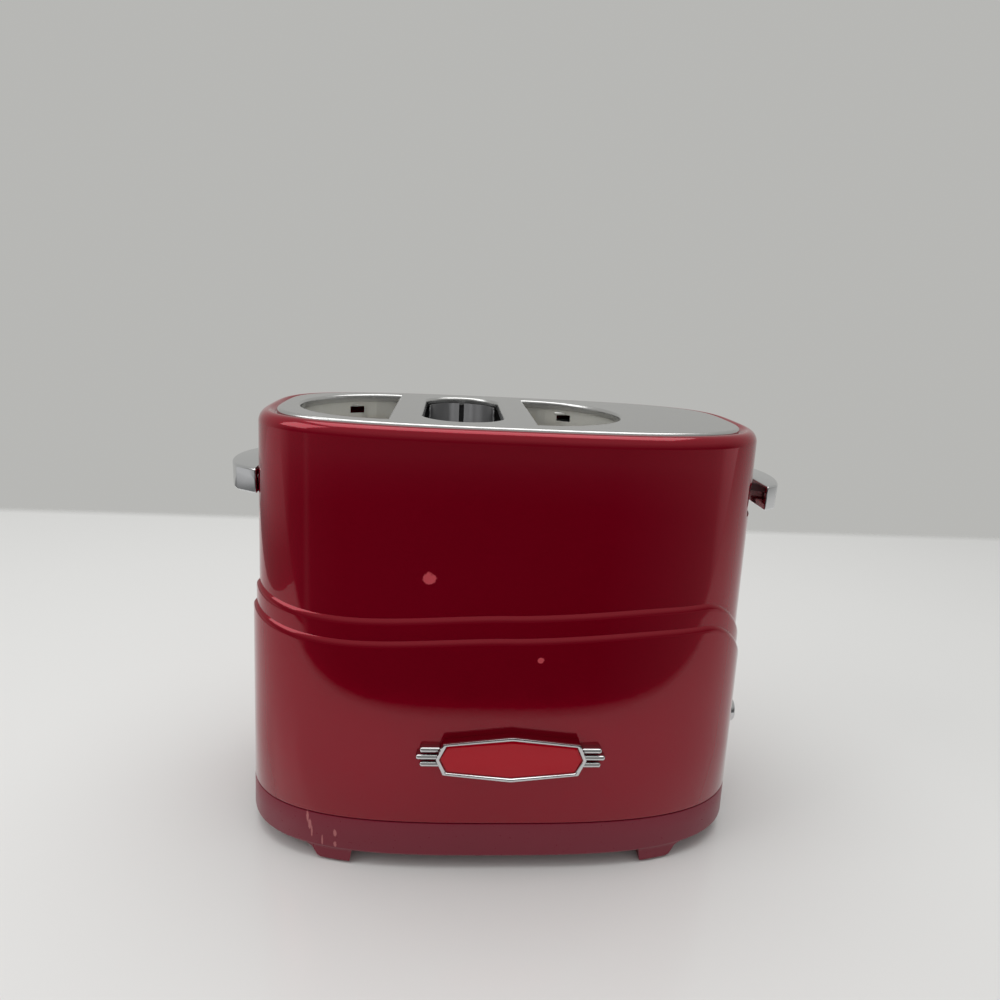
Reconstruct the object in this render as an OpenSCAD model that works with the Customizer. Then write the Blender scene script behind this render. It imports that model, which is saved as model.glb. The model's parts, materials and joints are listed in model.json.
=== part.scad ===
// Pop-up toaster for two buns and two sausages.
// Millimetres, +Z up, front towards -Y. The origin lies on the table, midway between the four feet.

/* [Body] */
// Width of the shell at plate height, left end to right end
body_w = 230; // [215:1:245]
// Depth of the shell at plate height, front to back
body_d = 120; // [116:1:130]
// Height of the top plate's face above the table
plate_z = 206; // [196:1:220]
// Height of the joint between shell and base
seam_z = 25; // [24:0.5:32]
// Exponent of the rounded outline along X
corner_x = 3; // [2.6:0.1:3.6]
// Exponent of the rounded outline along Y
corner_y = 3.4; // [3:0.1:4]
// Outward lean of the wall, per millimetre below the top plate
draft = 0.026; // [0.02:0.002:0.032]
// Thickness of the shell's wall
wall = 2; // [1.6:0.1:2.4]

/* [Streamline steps] */
// How far each of the two steps stands out
step_out = 1.25; // [0.6:0.05:1.6]
// Height between the two step lines
line_gap = 10; // [8:0.5:14]
// Height over which one step leans out
step_lean = 1; // [0.8:0.1:2.4]
// Lower line's height at its trough, left of the front's middle
wave_low = 112.5; // [108:0.5:118]
// Lower line's height at its crest, right of the front's middle
wave_high = 120; // [114:0.5:124]
// Lower line's height at the middle of the left end
wave_left = 118.5; // [112:0.5:124]
// Lower line's height at the middle of the right end
wave_right = 90; // [84:0.5:100]

/* [Rim and top plate] */
// Height of the rim's crest over the plate; below zero, the plate stands proud of the rim
rim_proud = -0.6; // [-1:0.1:0.4]
// Height of the rim's rounding
rim_round = 5.5; // [4:0.5:7]
// Inset of the rim's crest from the wall
rim_in = 4.2; // [3.6:0.1:4.6]
// Inset of the plate's edge from the wall
plate_inset = 7.4; // [7.2:0.1:8]
// Height of the plate's rolled edge
plate_edge_h = 2.6; // [2.2:0.1:3.2]
// Thickness of the sheet steel in the plate and the wells
sheet = 0.8; // [0.6:0.1:1]
// Depth of the turned-down lips round the slots
lip_h = 4; // [3.4:0.1:4.2]

/* [Slots] */
// X of the middle of the three slots
slots_x = -22.9; // [-26:0.1:-20]
// Half of the slots' length, front to back
slot_half = 41; // [38:0.5:42]
// Width of the middle slot
middle_w = 36.4; // [32:0.2:38]
// Half of the middle slot's straight sides
middle_side = 26; // [22:0.5:30]
// Width of the bridge between the middle slot and a bun slot
bridge = 14.2; // [13:0.1:16]
// Width of a bun slot
bun_w = 43.6; // [38:0.2:44]

/* [Levers and carriage] */
// Length of a lever's knob, front to back
lever_l = 55; // [44:1:56]
// Width of the right lever's knob
lever_w = 13; // [11:0.5:14]
// Width of the left lever's knob, which reaches nearly to the shell
left_lever_w = 16.6; // [14:0.2:17]
// Height of a lever's knob
lever_h = 12; // [9:0.5:12]
// Height of the knobs' middle when the carriage is up
lever_z = 173; // [170:0.5:174]
// How far the left knob reaches out from the middle
left_reach = 131; // [130.6:0.1:134]
// How far the right knob reaches out from the middle
right_reach = 134; // [132:0.1:135]
// How far the carriage travels down
travel = 55; // [45:1:55]
// Thickness of the carriage's rails
rail_t = 2.5; // [2:0.1:3]
// Height of the carriage's rails
rail_h = 6; // [5:0.5:7]
// Height of the rails' underside when the carriage is up
carriage_z = 74; // [74:1:80]
// Radius of the guide rods
rod_r = 2; // [1.6:0.1:2.2]

/* [Finger pockets] */
// Distance of the pockets' floor from the middle
pocket_x = 109; // [108:0.2:110]
// Width of the right finger pocket, front to back
pocket_w = 80; // [76:1:84]
// Width of the left finger pocket, which the deeper knob covers
left_pocket_w = 48; // [46:1:50]
// Height of a finger pocket
pocket_h = 14.5; // [14:0.5:16]
// Distance of the right lever track's floor from the middle
track_x = 115.2; // [114.8:0.1:115.6]
// Width of a lever track
track_w = 57; // [56:0.5:58]

/* [Base and feet] */
// Clearance between the base's underside and the table
base_z = 6.5; // [5:0.5:8]
// Width of the base's bottom flange
flange_w = 9; // [8:0.5:10]
// X of a foot's inner side
foot_x = 68; // [60:1:72]
// Length of a foot at the table
foot_l = 15; // [13:0.5:17]
// How much longer a foot is at the base
foot_slope = 13; // [8:0.5:14]
// Radius of a foot pad
pad_r = 3.6; // [3:0.1:4]

/* [Controls on the right end] */
// Height of the dial and of the stop button
control_z = 57; // [54:0.5:60]
// Y of the dial
dial_y = 10; // [8:0.5:14]
// Radius of the dial
dial_r = 12.5; // [11:0.5:13]
// Depth of the dial
dial_h = 7; // [6:0.2:7.4]
// Y of the stop button
button_y = -19; // [-22:0.5:-17]
// Radius of the stop button
button_r = 6.4; // [5.4:0.1:6.8]
// Travel of the stop button
button_travel = 1.8; // [1.2:0.1:2]
// Radius of the dial's shaft
shaft_r = 3; // [2.5:0.1:3.2]

/* [Badge] */
// X of the badge's middle
badge_x = 3.4; // [0:0.1:8]
// Height of the badge's middle
badge_z = 60.8; // [56:0.2:66]
// Width of the badge between its side points
badge_w = 67.2; // [60:0.2:72]
// Height of the badge at its middle
badge_h = 22.6; // [20:0.2:26]
// How far the badge stands out from the shell
badge_t = 4.6; // [3.6:0.1:5]

/* [Hidden] */
a = body_w / 2;
b = body_d / 2;
rim_z = plate_z + rim_proud;
segs = 72;
seat = 0.3;                             // clearance of pieces that only rest near each other
ledge_z = plate_z - plate_edge_h;       // the shell's ledge, on which the plate stands
ledge_t = 2.4;
ledge_in = 11;
ledge_under = ledge_z - ledge_t;
frame_t = 1;                            // sheet of the inner frames
upper_z = ledge_under - frame_t;        // underside of the upper frame
lower_z = 15;                           // underside of the lower frame
lower_top = lower_z + frame_t;
bun_left_x = slots_x - middle_w / 2 - bridge;    // straight edges of the bun slots
bun_right_x = slots_x + middle_w / 2 + bridge;
well_gap = 1.6;                         // the wells stand this far outside the slots
well_top = ledge_under + sheet;         // top of the wells' flanges
well_floor = 30;
collar_z = upper_z - 11;
rail_y = slot_half + 8.7;               // middle of the front and rear rails
left_end_x = bun_left_x - bun_w - well_gap - sheet - 1.5;   // middle of the carriage's left end
right_end_x = bun_right_x + bun_w + well_gap + sheet + 3;   // middle of its right end
end_half = 26;
left_rod_x = left_end_x - 1.3;
right_rod_x = right_end_x + 4.2;
rod_y = 16;
spring_y = 23.5;
post_half = 8;
post_t = 1.5;
arm_w = 5;
arm_h = 4;
arm_low = lever_z - arm_h / 2;
arm_high = lever_z + arm_h / 2;
tray_t = 1.2;
tray_z = carriage_z + rail_h;
bush_gap = 0.05;
pocket_low = lever_z - pocket_h / 2 + 0.7;
pocket_high = pocket_low + pocket_h;
track_low = lever_z - lever_h / 2 - travel - 4;
skin = 1.6;                             // wall behind the pockets and tracks
left_track_x = left_reach - left_lever_w - 0.3;     // the left track's floor lies close behind its knob
floor_z = base_z + 1.3;                 // the bottom plate rests here
floor_t = 1.2;
floor_top = floor_z + floor_t;
crumb_z = floor_top + 0.1;
crumb_h = 4.2;
crumb_w = 100;
crumb_front = -54;
panel_x = a - 7;                        // control bracket, behind the right end's wall
panel_t = 1.2;
rib_out = 2 * step_out;
board_y = -34;
gland_x = a - 31;
gland_z = 16;
gland_r = 3.3;
standoff = [[18 - a, 26], [18 - a, -26], [a - 31, 38], [a - 31, -38]];
board_x = panel_x - 40;                 // left edge of the circuit board
pads = [for (sx = [-1, 1], sy = [-1, 1]) [sx * (foot_x + foot_l / 2), sy]];

// ---- outlines -------------------------------------------------------------------------------

function side(v) = v < 0 ? -1 : 1;

// Point of the rounded outline, grown by g, at angle t
function rim_point(g, t) = [
    (a + g) * side(cos(t)) * pow(abs(cos(t)), 2 / corner_x),
    (b + g) * side(sin(t)) * pow(abs(sin(t)), 2 / corner_y)];

function outline(g) = [for (i = [0:segs - 1]) rim_point(g, 360 * i / segs)];

// Half depth of the outline, grown by g, at x
function half_depth(g, x) = (b + g) * pow(1 - pow(min(1, abs(x) / (a + g)), corner_x), 1 / corner_y);

// Lean of the wall at height z
function flare(z) = draft * (plate_z - z);

function ease(s) = (1 - cos(180 * s)) / 2;

// Height of the lower step line at angle t: a trough, a crest and a dip over the dial
trough_at = 60;
crest_from = 118;
crest_to = 130;
function round_from_left(t) = abs(180 - t);
function wave_at(u) =
    u < trough_at ? wave_low + (wave_left - wave_low) * ease(1 - u / trough_at) :
    u < crest_from ? wave_low + (wave_high - wave_low) * ease((u - trough_at) / (crest_from - trough_at)) :
    u < crest_to ? wave_high :
    wave_high - (wave_high - wave_right) * ease((u - crest_to) / (180 - crest_to));
function wave(t) = wave_at(round_from_left(t));

function ring(g, z) = [for (p = outline(g)) [p.x, p.y, z]];

// A ring that follows the step lines, dz above the lower one, standing out by g
function wave_ring(g, dz) = [for (i = [0:segs - 1])
    let (t = 360 * i / segs, z = wave(t) + dz, p = rim_point(g + flare(z), t)) [p.x, p.y, z]];

// Skin through a list of rings; an open stack gets its two caps, a closed one runs back to its start
module loft(rings, closed = false) {
    n = len(rings[0]);
    m = len(rings);
    strips = closed ? m : m - 1;
    sides = [for (j = [0:strips - 1], i = [0:n - 1])
        let (k = (i + 1) % n, up = (j + 1) % m)
        each [[j * n + i, up * n + i, up * n + k], [j * n + i, up * n + k, j * n + k]]];
    caps = closed ? [] : [[for (i = [0:n - 1]) i], [for (i = [n - 1:-1:0]) (m - 1) * n + i]];
    polyhedron(points = [for (r = rings) each r], faces = concat(sides, caps), convexity = 8);
}

function outer_rings() = concat(
    [ring(rib_out + flare(seam_z), seam_z),
     wave_ring(rib_out, -step_lean / 2),
     wave_ring(step_out, step_lean / 2),
     wave_ring(step_out, line_gap - step_lean / 2),
     wave_ring(0, line_gap + step_lean / 2)],
    [for (k = [0:4]) ring(flare(rim_z - rim_round) - rim_in * (1 - cos(22.5 * k)),
        rim_z - rim_round + rim_round * sin(22.5 * k))]);

// The shell's outer form as a solid, grown by g: what fits the shell is cut with it
module body_solid(g = 0) {
    loft([ring(rib_out + g + flare(seam_z), seam_z),
        wave_ring(rib_out + g, -step_lean / 2),
        wave_ring(step_out + g, step_lean / 2),
        wave_ring(step_out + g, line_gap - step_lean / 2),
        wave_ring(g, line_gap + step_lean / 2),
        ring(g + flare(rim_z - rim_round), rim_z - rim_round)]);
}

// A block from x0 to x1, y0 to y1 and z0 to z1
module span(x0, x1, y0, y1, z0, z1) {
    translate([x0, y0, z0]) cube([x1 - x0, y1 - y0, z1 - z0]);
}

// A rod along X from x0 to x1
module rod_x(r, x0, x1, y, z) {
    translate([x0, y, z]) rotate([0, 90, 0]) cylinder(h = x1 - x0, r = r, $fn = 48);
}

// A rod along Y from y0 to y1
module rod_y_dir(r, y0, y1, x, z) {
    translate([x, y0, z]) rotate([-90, 0, 0]) cylinder(h = y1 - y0, r = r, $fn = 32);
}

// ---- shell and base -------------------------------------------------------------------------

module outer_shell() {
    inner = [ring(-ledge_in, ledge_z), ring(-ledge_in, ledge_under),
        ring(-plate_inset + 1.4, ledge_under),
        ring(flare(ledge_under - 5) - wall, ledge_under - 5),
        wave_ring(-wall, line_gap + 3),
        wave_ring(rib_out - wall, -3),
        ring(rib_out - wall + flare(seam_z), seam_z)];
    valley = [ring(-rim_in - 1.3, rim_z - 1), ring(-plate_inset + 1.1, ledge_z + 0.7),
        ring(-plate_inset + 0.7, ledge_z)];
    color([0.66, 0.04, 0.08]) difference() {
        union() {
            loft(concat(outer_rings(), valley, inner), closed = true);
            intersection() {
                body_solid();
                for (s = [-1, 1]) mirror([s < 0 ? 1 : 0, 0, 0]) {
                    span(pocket_x - skin, a + 20, -38, 38, pocket_low - skin, pocket_high + skin);
                    span((s < 0 ? left_track_x : track_x) - skin, a + 20, -track_w / 2 - skin,
                        track_w / 2 + skin, track_low - skin, pocket_low);
                }
            }
        }
        for (s = [-1, 1]) mirror([s < 0 ? 1 : 0, 0, 0]) {
            pocket_y = (s < 0 ? left_pocket_w : pocket_w) / 2;
            span(pocket_x, a + 30, -pocket_y, pocket_y, pocket_low, pocket_high);
            span(s < 0 ? left_track_x : track_x, a + 30, -track_w / 2, track_w / 2,
                track_low, pocket_low + 1);
            span(pocket_x - 5, a + 30, -arm_w / 2 - 0.7, arm_w / 2 + 0.7,
                arm_low - travel - 0.8, arm_high + 0.8);
        }
        rod_x(shaft_r + 2.2, a - 10, a + 20, dial_y, control_z);
        rod_x(button_r + 0.15, a - 10, a + 20, button_y, control_z);
    }
}

base_out = rib_out + flare(seam_z);     // the base's wall is flush with the shell above it
lip_out = base_out - wall - 0.25;
lip_in = lip_out - 1.6;
base_joint = 0.4;

// Part of the outline from x0 to x1, between two offsets, on the side of sy
function foot_plan(x0, x1, g0, g1) = concat(
    [for (k = [0:6]) let (x = x0 + (x1 - x0) * k / 6) [x, half_depth(g1, x)]],
    [for (k = [6:-1:0]) let (x = x0 + (x1 - x0) * k / 6) [x, half_depth(g0, x)]]);

module foot() {
    hull() {
        translate([0, 0, base_z]) linear_extrude(0.6)
            polygon(foot_plan(foot_x, foot_x + foot_l + foot_slope, -1, base_out + 0.2));
        translate([0, 0, 0.8]) linear_extrude(0.4)
            polygon(foot_plan(foot_x + 1, foot_x + foot_l, -0.4, base_out + 0.4));
    }
}

function pad_at(p) = [p.x, p.y * (half_depth(base_out, p.x) - 5)];

module base() {
    flare_base = base_out + draft * (seam_z - base_z);
    color([0.6, 0.05, 0.09]) difference() {
        union() {
            loft([ring(base_out, seam_z - base_joint), ring(lip_out, seam_z - base_joint),
                ring(lip_out, seam_z + 3), ring(lip_in, seam_z + 3), ring(lip_in, floor_z),
                ring(flare_base - flange_w, floor_z), ring(flare_base - flange_w, base_z),
                ring(flare_base - 1.2, base_z), ring(flare_base, base_z + 1.6)], closed = true);
            for (m = [[0, 0], [1, 0], [0, 1], [1, 1]])
                mirror([m.x, 0, 0]) mirror([0, m.y, 0]) foot();
        }
        for (p = pads) translate([pad_at(p).x, pad_at(p).y, -1]) cylinder(h = 2.6, r = pad_r + 0.1, $fn = 48);
        span(slots_x - crumb_w / 2 - seat, slots_x + crumb_w / 2 + seat, 20, b + 20,
            floor_top - 0.2, crumb_z + crumb_h + 1.4);
        translate([gland_x, 20, gland_z]) rotate([-90, 0, 0]) cylinder(h = 80, r = gland_r + 2.1, $fn = 48);
    }
}

module foot_pads() {
    color([0.09, 0.09, 0.09]) for (p = pads)
        translate([pad_at(p).x, pad_at(p).y, 0]) cylinder(h = 1.55, r = pad_r, $fn = 48);
}

screw_r = 1.5;

module bottom_plate() {
    color([0.62, 0.62, 0.6]) difference() {
        union() {
            translate([0, 0, floor_z]) linear_extrude(floor_t) polygon(outline(lip_in - 0.3));
            for (p = standoff) translate([p.x, p.y, floor_z])
                cylinder(h = lower_z - floor_z, r = 4, $fn = 48);
        }
        for (p = standoff) translate([p.x, p.y, 0]) cylinder(h = lower_z - 1.5, r = screw_r + 0.05, $fn = 48);
        for (i = [0:7], j = [-1, 1])
            span(34 + i * 5, 36.4 + i * 5, j * 24 - 9, j * 24 + 9, 0, floor_top + 1);
    }
}

module base_screws() {
    color([0.75, 0.75, 0.74]) for (p = standoff) translate([p.x, p.y, 0]) {
        translate([0, 0, floor_z - 1.4]) cylinder(h = 1.4, r = 3, $fn = 48);
        translate([0, 0, floor_z - 0.5]) cylinder(h = lower_z - 2 - floor_z, r = screw_r, $fn = 48);
    }
}

// ---- top plate and wells ----------------------------------------------------------------------

// Bun slot: half an oval with its straight edge at x = 0, opening towards -X, grown by g
function bun_plan(g) = [for (k = [0:36]) let (t = 90 + 5 * k)
    [(bun_w + g) * cos(t) * pow(abs(cos(t)) + 0.0001, -0.08) + (abs(k - 18) == 18 ? g : 0),
     (slot_half + g) * sin(t)]];

// Middle slot: straight sides with bowed ends, grown by g
function middle_plan(g) = let (
        s = slot_half - middle_side,
        r = (s * s + pow(middle_w / 2, 2)) / (2 * s),
        reach = asin((middle_w / 2) / r),
        cy = slot_half - r,
        w = middle_w / 2 + g,
        top = [for (k = [0:12]) let (t = 90 + reach - 2 * reach * k / 12)
            [(r + g) * cos(t) * w / ((r + g) * sin(reach)), cy + (r + g) * sin(t)]])
    concat(top, [for (k = [12:-1:0]) [top[k].x, -top[k].y]]);

module at_left_bun() { translate([bun_left_x, 0, 0]) children(); }
module at_right_bun() { translate([bun_right_x, 0, 0]) mirror([1, 0, 0]) children(); }
module at_middle() { translate([slots_x, 0, 0]) children(); }

module slot_shapes(g) {
    at_left_bun() polygon(bun_plan(g));
    at_right_bun() polygon(bun_plan(g));
    at_middle() polygon(middle_plan(g));
}

module top_plate() {
    color([0.72, 0.72, 0.71]) difference() {
        union() {
            difference() {
                loft([ring(-plate_inset - 0.5, ledge_z), ring(-plate_inset, ledge_z + 0.6),
                    ring(-plate_inset, plate_z - 1.1), ring(-plate_inset - 0.4, plate_z - 0.4),
                    ring(-plate_inset - 1.2, plate_z)]);
                translate([0, 0, ledge_z - 1]) linear_extrude(plate_edge_h + 1 - sheet)
                    polygon(outline(-plate_inset - 1.6));
            }
            translate([0, 0, plate_z - lip_h]) linear_extrude(lip_h - 0.1) slot_shapes(sheet);
        }
        translate([0, 0, plate_z - lip_h - 1]) linear_extrude(lip_h + 2) slot_shapes(0);
    }
}

// Curved wall of a bun well, open on the heater's side, with a collar and a flange at the top
module bun_well() {
    slot_x = -bun_w * 0.52;
    color([0.74, 0.74, 0.72]) difference() {
        union() {
            translate([0, 0, well_floor]) linear_extrude(well_top - well_floor)
                polygon(bun_plan(well_gap + sheet));
            translate([0, 0, ledge_under]) linear_extrude(sheet) polygon(bun_plan(well_gap + 1.8));
        }
        translate([0, 0, well_floor - 1]) linear_extrude(well_top) polygon(bun_plan(well_gap));
        span(-6, 20, -slot_half - 10, slot_half + 10, well_floor - 1, collar_z);
        span(slot_x - 4.2, slot_x + 4.2, -80, 80, well_floor - 1, tray_z + 8);
        span(slot_x - 3.4, slot_x + 3.4, 0, 80, ledge_under - 5, ledge_under - 1.5);
    }
}

module bun_well_left() { at_left_bun() bun_well(); }
module bun_well_right() { at_right_bun() bun_well(); }

slit = 2.6;

module hot_dog_well() {
    color([0.3, 0.3, 0.31]) at_middle() difference() {
        union() {
            translate([0, 0, well_floor]) linear_extrude(well_top - well_floor)
                polygon(middle_plan(well_gap + sheet));
            translate([0, 0, ledge_under]) linear_extrude(sheet) polygon(middle_plan(well_gap + 1.8));
        }
        translate([0, 0, well_floor - 1]) linear_extrude(well_top) polygon(middle_plan(well_gap));
        span(-60, 60, -middle_side + 3, middle_side - 3, well_floor - 1, collar_z);
        span(-4.2, 4.2, -80, 80, well_floor - 1, tray_z + 8);
    }
}

cage_z = tray_z + tray_t + 0.1;
cage_top = plate_z - 2.8;
cage_in = 1.6;
cage_side = 12;                         // half of the opening in the cage's sides
wire_pitch = (cage_top - cage_z - 36) / 3;

// Opening in the cage's sides, seen along X: the panels' upper corners are rounded off
cage_opening = [[-cage_side, cage_z + sheet], [cage_side, cage_z + sheet], [cage_side, cage_top - 16],
    [cage_side + 1, cage_top - 9.5], [cage_side + 4.2, cage_top - 4.2], [cage_side + 10, cage_top - 0.8],
    [cage_side + 12, cage_top + 1], [-cage_side - 12, cage_top + 1], [-cage_side - 10, cage_top - 0.8],
    [-cage_side - 4.2, cage_top - 4.2], [-cage_side - 1, cage_top - 9.5], [-cage_side, cage_top - 16]];

// Lift-out cage: a curved front and back of two panels each, a floor and side wires
module hot_dog_cage() {
    color([0.24, 0.24, 0.25]) at_middle() {
        difference() {
            translate([0, 0, cage_z]) linear_extrude(cage_top - cage_z) difference() {
                polygon(middle_plan(-cage_in));
                polygon(middle_plan(-cage_in - sheet));
            }
            translate([-60, 0, 0]) rotate([90, 0, 90]) linear_extrude(120) polygon(cage_opening);
            span(-slit / 2, slit / 2, -80, 80, cage_z + 24, cage_top + 1);
        }
        translate([0, 0, cage_z]) linear_extrude(sheet) difference() {
            polygon(middle_plan(-cage_in - sheet / 2));
            for (i = [-2:2], j = [-1, 1]) translate([j * 7.5, i * 12]) circle(r = 3, $fn = 32);
        }
        for (s = [-1, 1], k = [0:3]) rod_y_dir(0.9, -cage_side - 0.8, cage_side + 0.8,
            s * (middle_w / 2 - cage_in - sheet / 2 - 0.5), cage_z + 13 + wire_pitch * k);
    }
}

// ---- inner frames, heaters and guides ---------------------------------------------------------

rods = [for (x = [left_rod_x, right_rod_x], y = [-rod_y, rod_y]) [x, y]];
springs = [[left_rod_x, spring_y], [right_rod_x, spring_y]];

board_t = 0.6;
board_half = 34;
board_low = 32;
board_high = 186;
board_in = 5.2;                         // heater boards stand this far outside the slots
guard_in = 3.6;                         // and the guard wires this far
left_boards = [bun_left_x + board_in, slots_x - middle_w / 2 - board_in];
right_boards = [slots_x + middle_w / 2 + board_in, bun_right_x - board_in];
tab_half = 5;
tab_y = 26;
wire_r = 0.7;
left_guards = [bun_left_x + guard_in, slots_x - middle_w / 2 - guard_in];
right_guards = [slots_x + middle_w / 2 + guard_in, bun_right_x - guard_in];
guard_y = [-20, 0, 20];

module frame_holes(z, h) {
    for (p = rods) translate([p.x, p.y, z - 1]) cylinder(h = h + 2, r = rod_r + 0.03, $fn = 48);
    for (x = concat(left_boards, right_boards), s = [-1, 1])
        span(x - board_t / 2 - 0.05, x + board_t / 2 + 0.05, s * tab_y - tab_half - 0.1,
            s * tab_y + tab_half + 0.1, z - 1, z + h + 1);
    for (x = concat(left_guards, right_guards), y = guard_y)
        translate([x, y, z - 1]) cylinder(h = h + 2, r = wire_r + 0.03, $fn = 24);
}

module upper_frame() {
    color([0.66, 0.67, 0.67]) difference() {
        translate([0, 0, upper_z]) linear_extrude(frame_t) difference() {
            polygon(outline(-plate_inset + 0.4));
            at_left_bun() polygon(bun_plan(well_gap + sheet + 0.1));
            at_right_bun() polygon(bun_plan(well_gap + sheet + 0.1));
            at_middle() polygon(middle_plan(well_gap + sheet + 0.1));
        }
        frame_holes(upper_z, frame_t);
    }
}

module lower_frame() {
    color([0.66, 0.67, 0.67]) difference() {
        translate([0, 0, lower_z]) linear_extrude(frame_t) difference() {
            polygon(outline(lip_in - 3.5));
            at_left_bun() polygon(bun_plan(-3));
            at_right_bun() polygon(bun_plan(-3));
            at_middle() polygon(middle_plan(-3));
        }
        frame_holes(lower_z, frame_t);
    }
}

shield_y = rail_y + rail_t / 2 + 2.2;

module heat_shield(s) {
    color([0.68, 0.69, 0.69]) difference() {
        span(-62, 48, s > 0 ? shield_y : -shield_y - 0.6, s > 0 ? shield_y + 0.6 : -shield_y,
            lower_top, 195);
        for (k = [0:5]) span(-54 + 18 * k, -46 + 18 * k, -80, 80, 176, 190);
    }
}

module heat_shield_front() { heat_shield(-1); }
module heat_shield_rear() { heat_shield(1); }

module heater_board(x) {
    span(x - board_t / 2, x + board_t / 2, -board_half, board_half, board_low, board_high);
    for (s = [-1, 1]) span(x - board_t / 2, x + board_t / 2, s * tab_y - tab_half, s * tab_y + tab_half,
        lower_z + 0.2, ledge_under - 0.2);
}

module heater_boards_left() { color([0.78, 0.7, 0.5]) for (x = left_boards) heater_board(x); }
module heater_boards_right() { color([0.78, 0.7, 0.5]) for (x = right_boards) heater_board(x); }

ribbon_t = 0.2;
ribbon_h = 2;
ribbon_rows = 9;

// Heating ribbon: one zigzag from row to row on the face that looks into the well
module ribbon(x, s) {
    x0 = s > 0 ? x + board_t / 2 : x - board_t / 2 - ribbon_t;
    x1 = x0 + ribbon_t;
    pitch = (board_high - board_low - 16) / (ribbon_rows - 1);
    for (k = [0:ribbon_rows - 1]) {
        z = board_low + 7 + pitch * k;
        span(x0, x1, -board_half + 3, board_half - 3, z, z + ribbon_h);
        if (k < ribbon_rows - 1)
            span(x0, x1, k % 2 == 0 ? board_half - 3 - ribbon_h : -board_half + 3,
                k % 2 == 0 ? board_half - 3 : -board_half + 3 + ribbon_h, z, z + pitch + ribbon_h);
    }
}

module heater_windings_left() {
    color([0.45, 0.4, 0.36]) { ribbon(left_boards[0], -1); ribbon(left_boards[1], 1); }
}

module heater_windings_right() {
    color([0.45, 0.4, 0.36]) { ribbon(right_boards[0], -1); ribbon(right_boards[1], 1); }
}

module guard_wires() {
    color([0.8, 0.8, 0.8]) for (x = concat(left_guards, right_guards), y = guard_y)
        translate([x, y, lower_z - 0.6]) cylinder(h = ledge_under - lower_z + 0.4, r = wire_r, $fn = 24);
}

module guide_rods() {
    color([0.8, 0.8, 0.8]) for (p = rods)
        translate([p.x, p.y, lower_z - 0.8]) cylinder(h = ledge_under - lower_z + 0.4, r = rod_r, $fn = 48);
}

// ---- carriage and levers -----------------------------------------------------------------------

// Ring of the carriage, round all three wells, at offset g from the middle of its rails
function carriage_plan(g) = let (
        l = left_end_x - g, r = right_end_x + g, y = rail_y + g,
        lf = left_end_x + 26, rf = right_end_x - 26, e = end_half - 4 + g)
    [[lf, -y], [rf, -y], [r, -e], [r, e], [rf, y], [lf, y], [l, e], [l, -e]];

ear_r = 4.5;
bush_out = 3.2;

module carriage_frame() {
    color([0.7, 0.71, 0.71]) difference() {
        union() {
            translate([0, 0, carriage_z]) linear_extrude(rail_h) difference() {
                polygon(carriage_plan(rail_t / 2));
                polygon(carriage_plan(-rail_t / 2));
            }
            for (p = rods) translate([p.x, p.y, carriage_z]) cylinder(h = rail_h, r = ear_r, $fn = 48);
            for (p = springs) translate([p.x, p.y, carriage_z + rail_h - 1.6])
                cylinder(h = 1.6, r = 3.6, $fn = 48);
            span(left_end_x - post_t / 2, left_end_x + post_t / 2, -post_half, post_half,
                carriage_z, arm_high + 1.5);
            span(right_end_x - post_t / 2, right_end_x + post_t / 2, -post_half, post_half,
                carriage_z, arm_high + 1.5);
        }
        for (p = rods) translate([p.x, p.y, carriage_z - 1])
            cylinder(h = rail_h + 2, r = bush_out + bush_gap, $fn = 48);
    }
}

module guide_bushes() {
    color([0.75, 0.62, 0.36]) for (p = rods) translate([p.x, p.y, carriage_z - 1]) difference() {
        union() {
            cylinder(h = rail_h + 2, r = bush_out, $fn = 48);
            cylinder(h = 0.9, r = bush_out + 0.9, $fn = 48);
        }
        translate([0, 0, -1]) cylinder(h = rail_h + 5, r = rod_r + 0.05, $fn = 48);
    }
}

// A tray: a flat strip that lies on the front and rear rails, with turned-up edges inside the well
tray_half = slot_half - 16;

module tray(x, w, tongue) {
    span(x - tongue / 2, x + tongue / 2, -rail_y - rail_t / 2, rail_y + rail_t / 2, tray_z, tray_z + tray_t);
    span(x - w / 2, x + w / 2, -tray_half, tray_half, tray_z, tray_z + tray_t);
    for (s = [-1, 1]) span(x + s * w / 2 - 0.6, x + s * w / 2 + 0.6, -tray_half, tray_half,
        tray_z, tray_z + 3.5);
}

bun_tray_x = bun_w * 0.52;

module bun_tray_left() { color([0.7, 0.71, 0.71]) tray(bun_left_x - bun_tray_x, 22, 6); }
module bun_tray_right() { color([0.7, 0.71, 0.71]) tray(bun_right_x + bun_tray_x, 22, 6); }

module hot_dog_tray() {
    color([0.7, 0.71, 0.71]) {
        span(slots_x - 3, slots_x + 3, -rail_y - rail_t / 2, rail_y + rail_t / 2, tray_z, tray_z + tray_t);
        span(slots_x - 12, slots_x + 12, -tray_half, tray_half, tray_z, tray_z + tray_t);
    }
}

module lever_arm_left() {
    color([0.7, 0.71, 0.71]) span(-left_reach + left_lever_w - 3, left_end_x - post_t / 2,
        -arm_w / 2, arm_w / 2, arm_low, arm_high);
}

module lever_arm_right() {
    color([0.7, 0.71, 0.71]) span(right_end_x + post_t / 2, right_reach - lever_w + 3,
        -arm_w / 2, arm_w / 2, arm_low, arm_high);
}

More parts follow.
